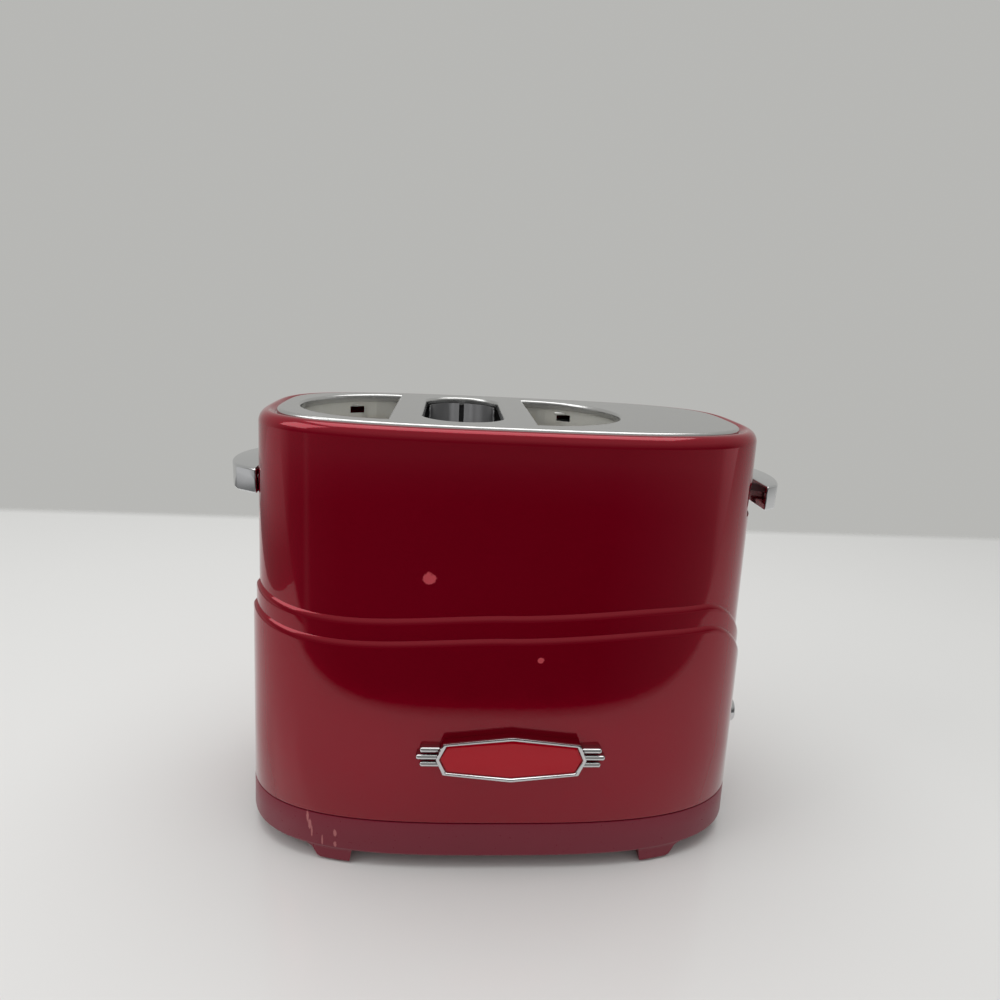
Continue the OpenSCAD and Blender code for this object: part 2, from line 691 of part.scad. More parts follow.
// Plan of a knob w wide, pointing along +X from its straight inner edge at x = 0, drawn in by g
knob_bow = 6.4;                         // how far the bowed front stands out beyond the slanted ends
function knob_plan(w, g) = let (
        half = lever_l / 2 - 0.65 * (w - knob_bow),
        r = (half * half + knob_bow * knob_bow) / (2 * knob_bow),
        reach = asin(half / r))
    concat([[g, -lever_l / 2 + g]],
        [for (k = [0:12]) let (t = -reach + 2 * reach * k / 12)
            [w - r + (r - g) * cos(t), (r - g * 1.15) * sin(t)]],
        [[g, lever_l / 2 - g]]);

knob_edge = 0.8;

module knob(w) {
    difference() {
        hull() {
            translate([0, 0, -lever_h / 2]) linear_extrude(lever_h) polygon(knob_plan(w, knob_edge));
            translate([0, 0, -lever_h / 2 + knob_edge]) linear_extrude(lever_h - 2 * knob_edge)
                polygon(knob_plan(w, 0));
        }
        span(-1, 3.05, -arm_w / 2 - 0.05, arm_w / 2 + 0.05, -arm_h / 2 - 0.05, arm_h / 2 + 0.05);
    }
}

module lever_right() {
    color([0.8, 0.8, 0.82]) translate([right_reach - lever_w, 0, lever_z]) knob(lever_w);
}

module lever_left() {
    color([0.8, 0.8, 0.82]) translate([-left_reach + left_lever_w, 0, lever_z]) mirror([1, 0, 0])
        knob(left_lever_w);
}

// Close-coiled tube along a helix: one unbroken wire with capped ends
module coil(r, wire, height, turns, per_turn = 6, sides = 5) {
    n = turns * per_turn;
    loft([for (k = [0:n]) let (t = 360 * k / per_turn, z = height * k / n)
        [for (i = [0:sides - 1]) let (q = 360 * i / sides)
            [(r + wire * cos(q)) * cos(t), (r + wire * cos(q)) * sin(t), z - wire * sin(q)]]]);
}

spring_turns = 16;
spring_wire = 0.35;
spring_coil = 1.75;

module return_spring(p) {
    color([0.75, 0.75, 0.76]) translate([p.x, p.y, tray_z + spring_wire + 0.05])
        coil(spring_coil, spring_wire, upper_z - tray_z - 2 * spring_wire - 0.1, spring_turns);
}

module return_spring_left() { return_spring(springs[0]); }
module return_spring_right() { return_spring(springs[1]); }

// ---- electrics -----------------------------------------------------------------------------------

latch_z = tray_z + 2;
magnet_x = right_end_x + 11;

module latch_plate() {
    color([0.55, 0.56, 0.57]) span(right_end_x + post_t / 2, magnet_x + 6, -7, 7, latch_z, latch_z + 2);
}

magnet_top = latch_z - travel - 0.1;

module magnet_core() {
    color([0.5, 0.5, 0.52]) {
        translate([magnet_x, 0, lower_top]) cylinder(h = magnet_top - lower_top, r = 2.6, $fn = 48);
        span(magnet_x - 6, magnet_x + 6, -6, 6, lower_top, lower_top + 1.2);
    }
}

module magnet_coil() {
    color([0.72, 0.4, 0.2]) translate([magnet_x, 0, lower_top + 1.2]) difference() {
        cylinder(h = magnet_top - lower_top - 2, r = 6.5, $fn = 48);
        translate([0, 0, -1]) cylinder(h = 40, r = 2.65, $fn = 48);
    }
}

module circuit_board() {
    color([0.12, 0.4, 0.2]) difference() {
        span(board_x, panel_x - 2, board_y - 1.6, board_y, lower_top, 92);
        for (x = [board_x + 3, panel_x - 5], z = [24, 88]) rod_y_dir(1.6, board_y - 4, board_y + 3, x, z);
    }
}

module board_components() {
    color([0.15, 0.15, 0.17]) {
        span(board_x + 4, board_x + 20, board_y, board_y + 12, 30, 48);
        span(board_x + 26, board_x + 34, board_y, board_y + 9, 28, 44);
        for (z = [58, 72]) rod_y_dir(4.2, board_y, board_y + 10, board_x + 10, z);
        for (k = [0:4]) rod_y_dir(1.3, board_y, board_y + 3, board_x + 22 + 3 * k, 80);
        span(board_x + 22, board_x + 32, board_y, board_y + 2.4, 56, 66);
    }
}

module control_bracket() {
    color([0.68, 0.69, 0.69]) difference() {
        union() {
            span(panel_x, panel_x + panel_t, -28, 26, lower_top, control_z + 16);
            span(panel_x - 12, panel_x + panel_t, -28, 26, lower_top, lower_top + 1.2);
        }
        rod_x(shaft_r + 0.05, panel_x - 5, panel_x + 5, dial_y, control_z);
        rod_x(1.9, panel_x - 5, panel_x + 5, button_y, control_z);
    }
}

module timer_body() {
    color([0.2, 0.25, 0.42]) difference() {
        union() {
            rod_x(8.5, panel_x - 9, panel_x, dial_y, control_z);
            span(panel_x - 8, panel_x - 5, dial_y - 5, dial_y + 5, control_z - 12, control_z);
        }
        rod_x(shaft_r + 0.05, panel_x - 7, panel_x + 1, dial_y, control_z);
    }
}

wall_x = a + rib_out + flare(control_z);        // outside of the right end beside the controls
dial_back = wall_x + draft * dial_r + 0.6;

module dial_bush() {
    color([0.82, 0.82, 0.84]) difference() {
        rod_x(shaft_r + 2.1, panel_x + panel_t, wall_x + 0.3, dial_y, control_z);
        rod_x(shaft_r + 0.05, panel_x, wall_x + 5, dial_y, control_z);
    }
}

module dial_shaft() {
    color([0.7, 0.71, 0.72]) rod_x(shaft_r, panel_x - 6.5, dial_back + dial_h - 2, dial_y, control_z);
}

module dial() {
    color([0.82, 0.82, 0.84]) translate([dial_back, dial_y, control_z]) rotate([0, 90, 0]) difference() {
        union() {
            cylinder(h = 2.2, r = dial_r, $fn = 72);
            translate([0, 0, 2.2]) cylinder(h = dial_h - 3.2, r1 = dial_r - 1.6, r2 = dial_r - 2.2, $fn = 72);
            translate([0, 0, dial_h - 1]) cylinder(h = 1, r1 = dial_r - 2.2, r2 = dial_r - 3.4, $fn = 72);
        }
        translate([0, 0, -1]) cylinder(h = dial_h - 1, r = shaft_r + 0.02, $fn = 48);
        translate([-dial_r + 3.6, 0, dial_h - 0.4]) cube([4.5, 1.2, 1], center = true);
    }
}

button_face = a + rib_out + flare(control_z) + 2.2;
button_seat = panel_x + panel_t + 3.2;

module stop_button() {
    color([0.82, 0.82, 0.84]) {
        rod_x(button_r, button_seat + 2, button_face - 1, button_y, control_z);
        rod_x(button_r + 1.2, button_seat + 3, button_seat + 4.2, button_y, control_z);
        translate([button_face - 1, button_y, control_z]) rotate([0, 90, 0])
            cylinder(h = 1, r1 = button_r, r2 = button_r - 1.2, $fn = 48);
        rod_x(1.8, panel_x - 1, button_seat + 2, button_y, control_z);
    }
}

// Light spring between the bracket and the button
module button_spring() {
    color([0.75, 0.75, 0.76]) translate([panel_x + panel_t + 0.4, button_y, control_z]) rotate([0, 90, 0])
        coil(3, 0.3, button_seat + 2 - panel_x - panel_t - 0.8, 4, per_turn = 8);
}

module stop_switch() {
    switch_x = panel_x - 1.4 - button_travel;
    color([0.1, 0.1, 0.11]) {
        span(panel_x - 11, switch_x, button_y - 5, button_y + 5, control_z - 5, control_z + 5);
        span(switch_x, panel_x, button_y - 5, button_y - 3.2, control_z - 5, control_z + 5);
    }
}

// ---- crumb tray, cord inlet and badge ---------------------------------------------------------------

module crumb_tray() {
    x0 = slots_x - crumb_w / 2;
    x1 = slots_x + crumb_w / 2;
    color([0.7, 0.71, 0.71]) {
        difference() {
            span(x0, x1, crumb_front, 52, crumb_z, crumb_z + crumb_h);
            span(x0 + sheet, x1 - sheet, crumb_front + sheet, 60, crumb_z + sheet, crumb_z + crumb_h + 1);
        }
        intersection() {
            span(x0, x1, 50, b + 30, crumb_z, crumb_z + crumb_h + 0.8);
            translate([0, 0, crumb_z - 1]) linear_extrude(crumb_h + 4) polygon(outline(base_out + 0.3));
        }
        span(slots_x - 22, slots_x + 22, 60, b + base_out + 3.4, crumb_z + 1.4, crumb_z + 3.4);
    }
}

gland_out = half_depth(base_out, gland_x);

module cord_gland() {
    color([0.06, 0.06, 0.07]) translate([gland_x, gland_out, gland_z]) rotate([-90, 0, 0])
        rotate_extrude($fn = 48) translate([gland_r, 0]) polygon([
            [0, -5], [2, -5], [2, 2.4], [3, 2.4], [3, 4.4], [2, 4.4], [1.2, 10.4], [0, 10.4]]);
}

module terminal_block() {
    color([0.9, 0.9, 0.86]) difference() {
        span(gland_x - 16, gland_x + 10, 14, 26, lower_top, lower_top + 11);
        for (k = [-1:1]) translate([gland_x - 2 + 9 * k, 20, lower_top + 3])
            cylinder(h = 20, r = 2, $fn = 32);
    }
}

// Outline of the badge: straight slopes to a low peak, cut corners and side points, drawn in by g
badge_corner = 30.4 / 33.6;
function badge_plan(g) = let (
        w = badge_w / 2 - g, c = w * badge_corner, h = badge_h / 2 - g, s = h * 0.69)
    [[-w, 0], [-c, -s], [0, -h], [c, -s], [w, 0], [c, s], [0, h], [-c, s]];

badge_face = -(b + rib_out + flare(badge_z)) - badge_t;

// Children drawn in the badge's plane, standing from y0 to y1
module on_badge(y0, y1) {
    translate([badge_x, y1, badge_z]) rotate([90, 0, 0]) linear_extrude(y1 - y0) children();
}

module badge_pad() {
    color([0.5, 0.02, 0.05]) difference() {
        on_badge(badge_face + 1, -b + 4) polygon(badge_plan(0.2));
        body_solid(0.05);
    }
}

module badge_bezel() {
    color([0.82, 0.82, 0.84]) {
        on_badge(badge_face, badge_face + 1) difference() {
            polygon(badge_plan(0));
            polygon(badge_plan(1.9));
        }
        difference() {
            for (s = [-1, 1], k = [-1:1]) on_badge(badge_face + 2, -b + 4)
                translate([s > 0 ? badge_w / 2 - 2.2 : -badge_w / 2 + 2.2 - 11 + abs(k) * 3, k * 3.95 - 1.3])
                    square([11 - abs(k) * 3, 2.6]);
            body_solid(0.05);
            on_badge(badge_face - 1, -b + 5) polygon(badge_plan(0.15));
        }
    }
}

module badge_inlay() {
    color([0.66, 0.03, 0.07]) on_badge(badge_face + 0.4, badge_face + 1) polygon(badge_plan(2));
}

outer_shell();
base();
foot_pads();
bottom_plate();
base_screws();
top_plate();
bun_well_left();
bun_well_right();
hot_dog_well();
hot_dog_cage();
upper_frame();
lower_frame();
heat_shield_front();
heat_shield_rear();
heater_boards_left();
heater_boards_right();
heater_windings_left();
heater_windings_right();
guard_wires();
guide_rods();
carriage_frame();
guide_bushes();
bun_tray_left();
bun_tray_right();
hot_dog_tray();
lever_arm_left();
lever_arm_right();
lever_left();
lever_right();
return_spring_left();
return_spring_right();
latch_plate();
magnet_core();
magnet_coil();
circuit_board();
board_components();
control_bracket();
timer_body();
dial_bush();
dial_shaft();
dial();
stop_button();
button_spring();
stop_switch();
crumb_tray();
cord_gland();
terminal_block();
badge_pad();
badge_bezel();
badge_inlay();
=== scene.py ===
"""Looks of a retro pop-up toaster for two buns and two sausages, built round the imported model."""
import json
from math import asin, cos, pi, sin, sqrt

import bmesh
import bpy
from mathutils import Matrix, Vector


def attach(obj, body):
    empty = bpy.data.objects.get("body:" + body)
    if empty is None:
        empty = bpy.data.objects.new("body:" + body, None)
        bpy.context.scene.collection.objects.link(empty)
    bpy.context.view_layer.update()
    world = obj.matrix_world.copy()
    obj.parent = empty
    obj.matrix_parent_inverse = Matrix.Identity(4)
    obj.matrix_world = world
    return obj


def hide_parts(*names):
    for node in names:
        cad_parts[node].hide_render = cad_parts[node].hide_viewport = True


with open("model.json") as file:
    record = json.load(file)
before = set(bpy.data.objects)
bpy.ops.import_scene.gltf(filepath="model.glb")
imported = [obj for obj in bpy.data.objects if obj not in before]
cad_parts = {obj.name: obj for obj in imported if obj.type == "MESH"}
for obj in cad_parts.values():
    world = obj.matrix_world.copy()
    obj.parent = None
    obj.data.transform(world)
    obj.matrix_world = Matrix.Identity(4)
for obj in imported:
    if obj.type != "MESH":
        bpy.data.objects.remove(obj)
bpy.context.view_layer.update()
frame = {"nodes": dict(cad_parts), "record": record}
MM = 0.001

# ---- Camera -----------------------------------------------------------------------------------
# A phone held about 34 cm in front of the toaster's middle and 5 cm above its top, turned a
# little to the right, tipped down by 15 degrees and rolled by three.

camera_place = (-28.840, -343.222, 253.950)
camera_yaw, camera_pitch, camera_roll = 0.0764, 0.2642, 0.05333
FOCAL_LENGTH, PICTURE_WIDTH = 712.248, 1000  # in pixels
SENSOR_WIDTH = 36
view_axis = Vector((
    sin(camera_yaw) * cos(camera_pitch), cos(camera_yaw) * cos(camera_pitch), -sin(camera_pitch)))
level_right = Vector((cos(camera_yaw), -sin(camera_yaw), 0))
level_up = level_right.cross(view_axis)
camera_right = level_right * cos(camera_roll) + level_up * sin(camera_roll)
camera_up = level_up * cos(camera_roll) - level_right * sin(camera_roll)

bpy.ops.object.select_all(action="DESELECT")
bpy.ops.object.camera_add(location=Vector(camera_place) * MM)
camera = bpy.context.object
camera.name = "camera"
camera.rotation_euler = Matrix((camera_right, camera_up, -view_axis)).transposed().to_euler()
camera.data.sensor_width = SENSOR_WIDTH
camera.data.lens = SENSOR_WIDTH * FOCAL_LENGTH / PICTURE_WIDTH
camera.data.clip_start = 0.01
bpy.context.scene.camera = camera
bpy.context.scene.view_settings.view_transform = "Standard"

# ---- Studio -----------------------------------------------------------------------------------
# A glossy white table in front of a pale grey wall, under soft lamps overhead. Lacquer and chrome
# show painted reflections: mirrored rays alone see a painted dark room in front of the table and to its left.


def nodes_of(material):
    """Clears a material's nodes and gives its tree and a new shader, linked to the output."""
    material.use_nodes = True
    tree = material.node_tree
    tree.nodes.clear()
    shader = tree.nodes.new("ShaderNodeBsdfPrincipled")
    out = tree.nodes.new("ShaderNodeOutputMaterial")
    tree.links.new(shader.outputs["BSDF"], out.inputs["Surface"])
    return tree, shader


def add_node(tree, kind, inputs=None, **settings):
    """A node of that kind with its settings and its inputs, which are values or sockets."""
    node = tree.nodes.new("ShaderNode" + kind)
    for name, value in settings.items():
        setattr(node, name, value)
    for name, value in (inputs or {}).items():
        if isinstance(value, bpy.types.NodeSocket):
            tree.links.new(value, node.inputs[name])
        else:
            node.inputs[name].default_value = value
    return node


def ramp_of(tree, value, stops):
    """A grey scale along a value: pairs of place and brightness."""
    node = tree.nodes.new("ShaderNodeValToRGB")
    tree.links.new(value, node.inputs["Fac"])
    ramp = node.color_ramp
    while len(ramp.elements) < len(stops):
        ramp.elements.new(1.0)
    for element, (place, bright) in zip(ramp.elements, stops):
        element.position = place
        element.color = (bright, bright, bright, 1)
    return node.outputs["Color"]


WALL_GREY = (0.475, 0.475, 0.46, 1)
PAINTED_REFLECTION_GREY = (0.07, 0.07, 0.07, 1)
world = bpy.data.worlds.new("studio")
bpy.context.scene.world = world
world.use_nodes = True
room = world.node_tree
room.nodes.clear()
rays = add_node(room, "LightPath")
seen = add_node(
    room, "Math", {0: rays.outputs["Is Camera Ray"], 1: rays.outputs["Is Glossy Ray"]}, operation="MAXIMUM")
seen = add_node(
    room, "Math", {0: seen.outputs[0], 1: rays.outputs["Is Transmission Ray"]}, operation="MAXIMUM")
# Mirrored rays heading forward and low see a painted dark reflection in place of the wall grey
heading = add_node(room, "SeparateXYZ", {"Vector": add_node(room, "TexCoord").outputs["Generated"]})
forward = add_node(room, "MapRange", {"Value": heading.outputs["Y"], "From Min": 0.15, "From Max": -0.35})
low = add_node(room, "MapRange", {"Value": heading.outputs["Z"], "From Min": 0.55, "From Max": 0.05})
painted_dark_reflection = add_node(room, "Math", {0: forward.outputs[0], 1: low.outputs[0]}, operation="MULTIPLY")
painted_dark_reflection = add_node(room, "Math", {0: painted_dark_reflection.outputs[0], 1: rays.outputs["Is Glossy Ray"]}, operation="MULTIPLY")
wall_and_painted_reflection = add_node(room, "Mix", {"Factor": painted_dark_reflection.outputs[0]}, data_type="RGBA")
wall_and_painted_reflection.inputs[6].default_value = WALL_GREY
wall_and_painted_reflection.inputs[7].default_value = PAINTED_REFLECTION_GREY
soft_light = add_node(room, "Background", {"Color": (1.0, 1.0, 0.99, 1), "Strength": 0.50})
wall_and_painted_reflection_shader = add_node(room, "Background", {"Color": wall_and_painted_reflection.outputs[2], "Strength": 1.0})
mixed = add_node(
    room, "MixShader", {"Fac": seen.outputs[0], 1: soft_light.outputs[0], 2: wall_and_painted_reflection_shader.outputs[0]})
add_node(room, "OutputWorld", {"Surface": mixed.outputs[0]})

bpy.ops.mesh.primitive_plane_add(size=2, location=(0, 0, 0))
table = bpy.context.object
table.name = "table"
TABLE_SIDE, TABLE_FRONT, FAR_EDGE_LEFT, FAR_EDGE_RIGHT = 3.2, -3.0, 0.480, 0.507
table_corners = (
    (-TABLE_SIDE, TABLE_FRONT), (TABLE_SIDE, TABLE_FRONT),
    (-TABLE_SIDE, FAR_EDGE_LEFT), (TABLE_SIDE, FAR_EDGE_RIGHT))
for corner, (x, y) in zip(table.data.vertices, table_corners):
    corner.co = (x, y, 0)
white_gloss = bpy.data.materials.new("white_gloss")
tree, shader = nodes_of(white_gloss)
shader.inputs["Base Color"].default_value = (0.78, 0.78, 0.77, 1)
shader.inputs["Roughness"].default_value = 0.16
shader.inputs["Specular IOR Level"].default_value = 0.5
# Where mirrored rays meet the table in front, it glows with painted reflections of a dark room and its bright
# streaks, by direction and distance
place = add_node(tree, "TexCoord").outputs["Object"]
spot_on_table = add_node(tree, "SeparateXYZ", {"Vector": place})
toward = add_node(tree, "Math", {0: spot_on_table.outputs["Y"], 1: -1.0}, operation="MULTIPLY")
bearing = add_node(tree, "Math", {0: spot_on_table.outputs["X"], 1: toward.outputs[0]}, operation="ARCTAN2")
bearing = add_node(tree, "MapRange", {"Value": bearing.outputs[0], "From Min": -pi / 2, "From Max": pi / 2})
painted_reflection_front = ramp_of(tree, bearing.outputs[0], (
    (0.03, 0.48), (0.08, 0.28), (0.115, 0.10), (0.18, 0.07), (0.195, 0.20), (0.21, 0.06), (0.30, 0.02),
    (0.62, 0.01), (0.68, 0.06), (0.75, 0.12), (0.82, 0.19), (0.86, 0.26), (0.885, 0.50), (0.93, 0.64),
    (0.99, 0.82)))
distance = add_node(tree, "VectorMath", {0: place}, operation="LENGTH")
further = add_node(tree, "MapRange", {
    "Value": distance.outputs["Value"], "From Min": 0.85, "From Max": 1.45, "To Max": 0.12})
painted_reflection_front = add_node(tree, "Math", {0: painted_reflection_front, 1: further.outputs[0]}, operation="ADD")
TABLE_END = -0.45
# Past the table's left end, mirrored rays see a painted reflection that brightens leftward
leftward = add_node(tree, "MapRange", {
    "Value": spot_on_table.outputs["X"], "From Min": TABLE_END, "From Max": -1.25})
painted_reflection_left = ramp_of(tree, leftward.outputs[0], ((0.0, 0.17), (0.16, 0.22), (0.38, 0.44), (0.85, 0.60)))
in_front = add_node(tree, "MapRange", {
    "Value": spot_on_table.outputs["Y"], "From Min": -0.203, "From Max": -0.221})
at_left = add_node(tree, "Math", {0: spot_on_table.outputs["X"], 1: TABLE_END}, operation="LESS_THAN")
painted_reflection = add_node(tree, "Mix", {"Factor": in_front.outputs[0]}, data_type="RGBA")
tree.links.new(painted_reflection_left, painted_reflection.inputs[6])
tree.links.new(painted_reflection_front.outputs[0], painted_reflection.inputs[7])
beyond = add_node(tree, "Math", {0: in_front.outputs[0], 1: at_left.outputs[0]}, operation="MAXIMUM")
glossy_ray = add_node(tree, "LightPath").outputs["Is Glossy Ray"]
mirrored = add_node(tree, "Math", {0: beyond.outputs[0], 1: glossy_ray}, operation="MULTIPLY")
glow = add_node(tree, "Emission", {"Color": painted_reflection.outputs[2], "Strength": 1.0})
surface = add_node(tree, "MixShader", {"Fac": mirrored.outputs[0], 1: shader.outputs[0], 2: glow.outputs[0]})
# The far edge blurs into the wall
from_edge = add_node(tree, "Math", {0: spot_on_table.outputs["X"], 1: -0.0042, 2: spot_on_table.outputs["Y"]},
                     operation="MULTIPLY_ADD")
blur = add_node(tree, "MapRange", {"Value": from_edge.outputs[0], "From Min": 0.465, "From Max": 0.493},
                interpolation_type="SMOOTHSTEP")
surface = add_node(tree, "MixShader", {
    "Fac": blur.outputs[0], 1: surface.outputs[0], 2: add_node(tree, "BsdfTransparent").outputs[0]})
tree.links.new(surface.outputs[0], tree.nodes["Material Output"].inputs["Surface"])
table.data.materials.append(white_gloss)
white_gloss.cycles.emission_sampling = "NONE"


def soft_lamp(name, place, aim, width, depth, power):
    """A soft rectangular lamp at a place, turned to what it aims at."""
    bpy.ops.object.light_add(type="AREA", location=place)
    lamp = bpy.context.object
    lamp.name = name
    lamp.data.shape = "RECTANGLE"
    lamp.data.size = width
    lamp.data.size_y = depth
    lamp.data.energy = power
    lamp.rotation_euler = (Vector(aim) - Vector(place)).to_track_quat("-Z", "Y").to_euler()


soft_lamp("lamp_overhead", (0.0, 0.05, 1.35), (0, 0, 0), 1.5, 0.9, 9.8)
soft_lamp("lamp_left", (-1.15, -0.35, 1.0), (0, 0, 0.1), 0.7, 0.7, 3.6)

# ---- Shell ------------------------------------------------------------------------------------
# Pressed steel in glossy dark red lacquer. Two streamline steps run round it in a wave, the top
# edge is rounded over, and a ledge inside the rim carries the plate.

HALF_W, HALF_D = 115.0, 60.0
POWER_X, POWER_Y = 3.0, 3.4
PLATE_Z = 206.0
RIM_Z = 205.4
RIM_ROUND = 5.5
SEAM_Z = 25.0
DRAFT = 0.026
WALL = 2.0
STEP = 1.25
LINE_GAP = 10.0
POINTS_AROUND = 320
RIM_IN = 4.2
CREASE, SHOULDER = 0.3, 3.2
LAST_SLOPE = 52 * pi / 180
DIP_Z, DIP_AT = 112.5, 60
CREST_Z, CREST_END = 120.0, 130


def outline_at(angle, grown):
    """Point of the rounded outline, grown by so many millimetres."""
    c, s = cos(angle), sin(angle)
    return (
        (HALF_W + grown) * (1 if c >= 0 else -1) * abs(c) ** (2 / POWER_X),
        (HALF_D + grown) * (1 if s >= 0 else -1) * abs(s) ** (2 / POWER_Y),
    )


def even_angles(count):
    """Angles whose points lie evenly along the outline."""
    fine = 14400
    points = [outline_at(2 * pi * k / fine, 0) for k in range(fine + 1)]
    run = [0.0]
    for p, q in zip(points, points[1:]):
        run.append(run[-1] + sqrt((p[0] - q[0]) ** 2 + (p[1] - q[1]) ** 2))
    angles, k = [], 0
    for n in range(count):
        while run[k + 1] <= run[-1] * n / count:
            k += 1
        part = (run[-1] * n / count - run[k]) / (run[k + 1] - run[k])
        angles.append(2 * pi * (k + part) / fine)
    return angles


ANGLES = even_angles(POINTS_AROUND)


def half_depth(grown, x):
    """Half depth of the grown outline at x."""
    return (HALF_D + grown) * (1 - min(1, abs(x) / (HALF_W + grown)) ** POWER_X) ** (1 / POWER_Y)


def lean(z):
    """How far the wall has leaned out at height z."""
    return DRAFT * (PLATE_Z - z)


def ease(s):
    """Soft start and end of a run from 0 to 1."""
    return (1 - cos(pi * s)) / 2


def wave(angle):
    """Height of the lower step line, by how many degrees round from the left end."""
    u = abs(180 - angle * 180 / pi)
    if u < DIP_AT:
        return DIP_Z + 6.0 * ease(1 - u / DIP_AT)
    if u < 118:
        return DIP_Z + 7.5 * ease((u - DIP_AT) / 58)
    if u < CREST_END:
        return CREST_Z
    return CREST_Z - 30.0 * ease((u - CREST_END) / 50)


def level_ring(grown, z):
    """A level ring round the grown outline."""
    return [(*outline_at(t, grown), z) for t in ANGLES]


def wave_ring(grown, up):
    """A ring that follows the step line, so far above it."""
    return [(*outline_at(t, grown + lean(wave(t) + up)), wave(t) + up) for t in ANGLES]


def between(low, high, part):
    """A ring part of the way from one ring to another."""
    return [tuple(p + (q - p) * part for p, q in zip(a, b)) for a, b in zip(low, high)]


def select_only(piece):
    """Selects one piece alone and makes it active."""
    bpy.ops.object.select_all(action="DESELECT")
    piece.select_set(True)
    bpy.context.view_layer.objects.active = piece


def draw_through(name, rings, closed=False, capped=False):
    """Lays a circle on the first ring and extrudes it from ring to ring."""
    bpy.ops.object.select_all(action="DESELECT")
    bpy.ops.mesh.primitive_circle_add(vertices=len(rings[0]), radius=0.1, location=(0, 0, 0))
    piece = bpy.context.object
    piece.name = piece.data.name = name
    bpy.ops.object.mode_set(mode="EDIT")
    bpy.ops.mesh.select_mode(type="VERT")
    bpy.ops.mesh.select_all(action="SELECT")
    mesh = bmesh.from_edit_mesh(piece.data)
    order = mesh.verts.layers.int.new("order")
    for k, vert in enumerate(mesh.verts):
        vert[order] = k
        vert.co = Vector(rings[0][k]) * MM
    if capped:
        bpy.ops.mesh.edge_face_add()
    for ring in rings[1:]:
        bpy.ops.mesh.extrude_region_move()
        mesh = bmesh.from_edit_mesh(piece.data)
        order = mesh.verts.layers.int["order"]
        for vert in mesh.verts:
            if vert.select:
                vert.co = Vector(ring[vert[order]]) * MM
    bpy.ops.mesh.select_all(action="SELECT")
    if closed:
        bpy.ops.mesh.remove_doubles(threshold=1e-6)
    bpy.ops.mesh.normals_make_consistent(inside=False)
    bpy.ops.object.mode_set(mode="OBJECT")
    piece.data.attributes.remove(piece.data.attributes["order"])
    return piece


def smooth(piece, degrees=35):
    """Shades a piece smooth, apart from edges sharper than the angle."""
    select_only(piece)
    bpy.ops.object.shade_smooth_by_angle(angle=degrees * pi / 180)


def block(name, low, high):
    """A box between two corners, in millimetres, to cut or add with."""
    bpy.ops.object.select_all(action="DESELECT")
    bpy.ops.mesh.primitive_cube_add(size=1, location=(0, 0, 0))
    piece = bpy.context.object
    piece.name = piece.data.name = name
    for vert in piece.data.vertices:
        vert.co = [(a if c < 0 else b) * MM for a, b, c in zip(low, high, vert.co)]
    return piece


def rod(name, radius, start, axis, length):
    """A round rod from start along an axis."""
    bpy.ops.object.select_all(action="DESELECT")
    turn = Vector((0, 0, 1)).rotation_difference(Vector(axis)).to_euler()
    middle = (Vector(start) + Vector(axis) * length / 2) * MM
    bpy.ops.mesh.primitive_cone_add(
        vertices=64, radius1=radius * MM, radius2=radius * MM, depth=length * MM,
        location=middle, rotation=turn)
    piece = bpy.context.object
    piece.name = piece.data.name = name
    bpy.ops.object.transform_apply(location=True, rotation=True, scale=True)
    return piece


def combine(piece, tool, operation):
    """Adds a tool to a piece, cuts it away or keeps what they share, and takes the tool off the table."""
    select_only(piece)
    bpy.ops.object.modifier_add(type="BOOLEAN")
    cut = piece.modifiers[-1]
    cut.operation = operation
    cut.object = tool
    cut.solver = "EXACT"
    bpy.ops.object.modifier_apply(modifier=cut.name)
    bpy.data.objects.remove(tool)


def bevel_sharp(piece, width, segments, degrees=40):
    """Rounds a piece's sharp edges over."""
    select_only(piece)
    bpy.ops.object.modifier_add(type="BEVEL")
    bevel = piece.modifiers[-1]
    bevel.width = width * MM
    bevel.segments = segments
    bevel.limit_method = "ANGLE"
    bevel.angle_limit = degrees * pi / 180
    bevel.harden_normals = False
    bpy.ops.object.modifier_apply(modifier=bevel.name)


OUT = 2 * STEP
seam_lean = lean(SEAM_Z)


def step_rings(grown, up, shrink=0.0):
    """One step: the wall rounds in by STEP and meets the wall above in a crease."""
    rings = []
    for k in range(9):
        t = LAST_SLOPE * k / 8
        inward = STEP * (1 - cos(t)) / (1 - cos(LAST_SLOPE))
        below = CREASE + SHOULDER * (1 - sin(t) / sin(LAST_SLOPE))
        rings.append(wave_ring(grown - inward - shrink, up - below))
    return rings


def skin_rings(shrink=0.0):
    """The shell's outside from the seam to where the rim begins to round."""
    low = step_rings(OUT, 0, shrink)
    high = step_rings(STEP, LINE_GAP, shrink)
    foot = level_ring(OUT + lean(SEAM_Z + 0.6) - shrink, SEAM_Z + 0.6)
    shoulder = level_ring(lean(RIM_Z - RIM_ROUND) - shrink, RIM_Z - RIM_ROUND)
    rings = [foot] + [between(foot, low[0], part) for part in (0.33, 0.67)] + low
    rings += [between(low[-1], high[0], 0.5)] + high
    return rings + [between(high[-1], shoulder, part) for part in (0.2, 0.4, 0.6, 0.8)] + [shoulder]


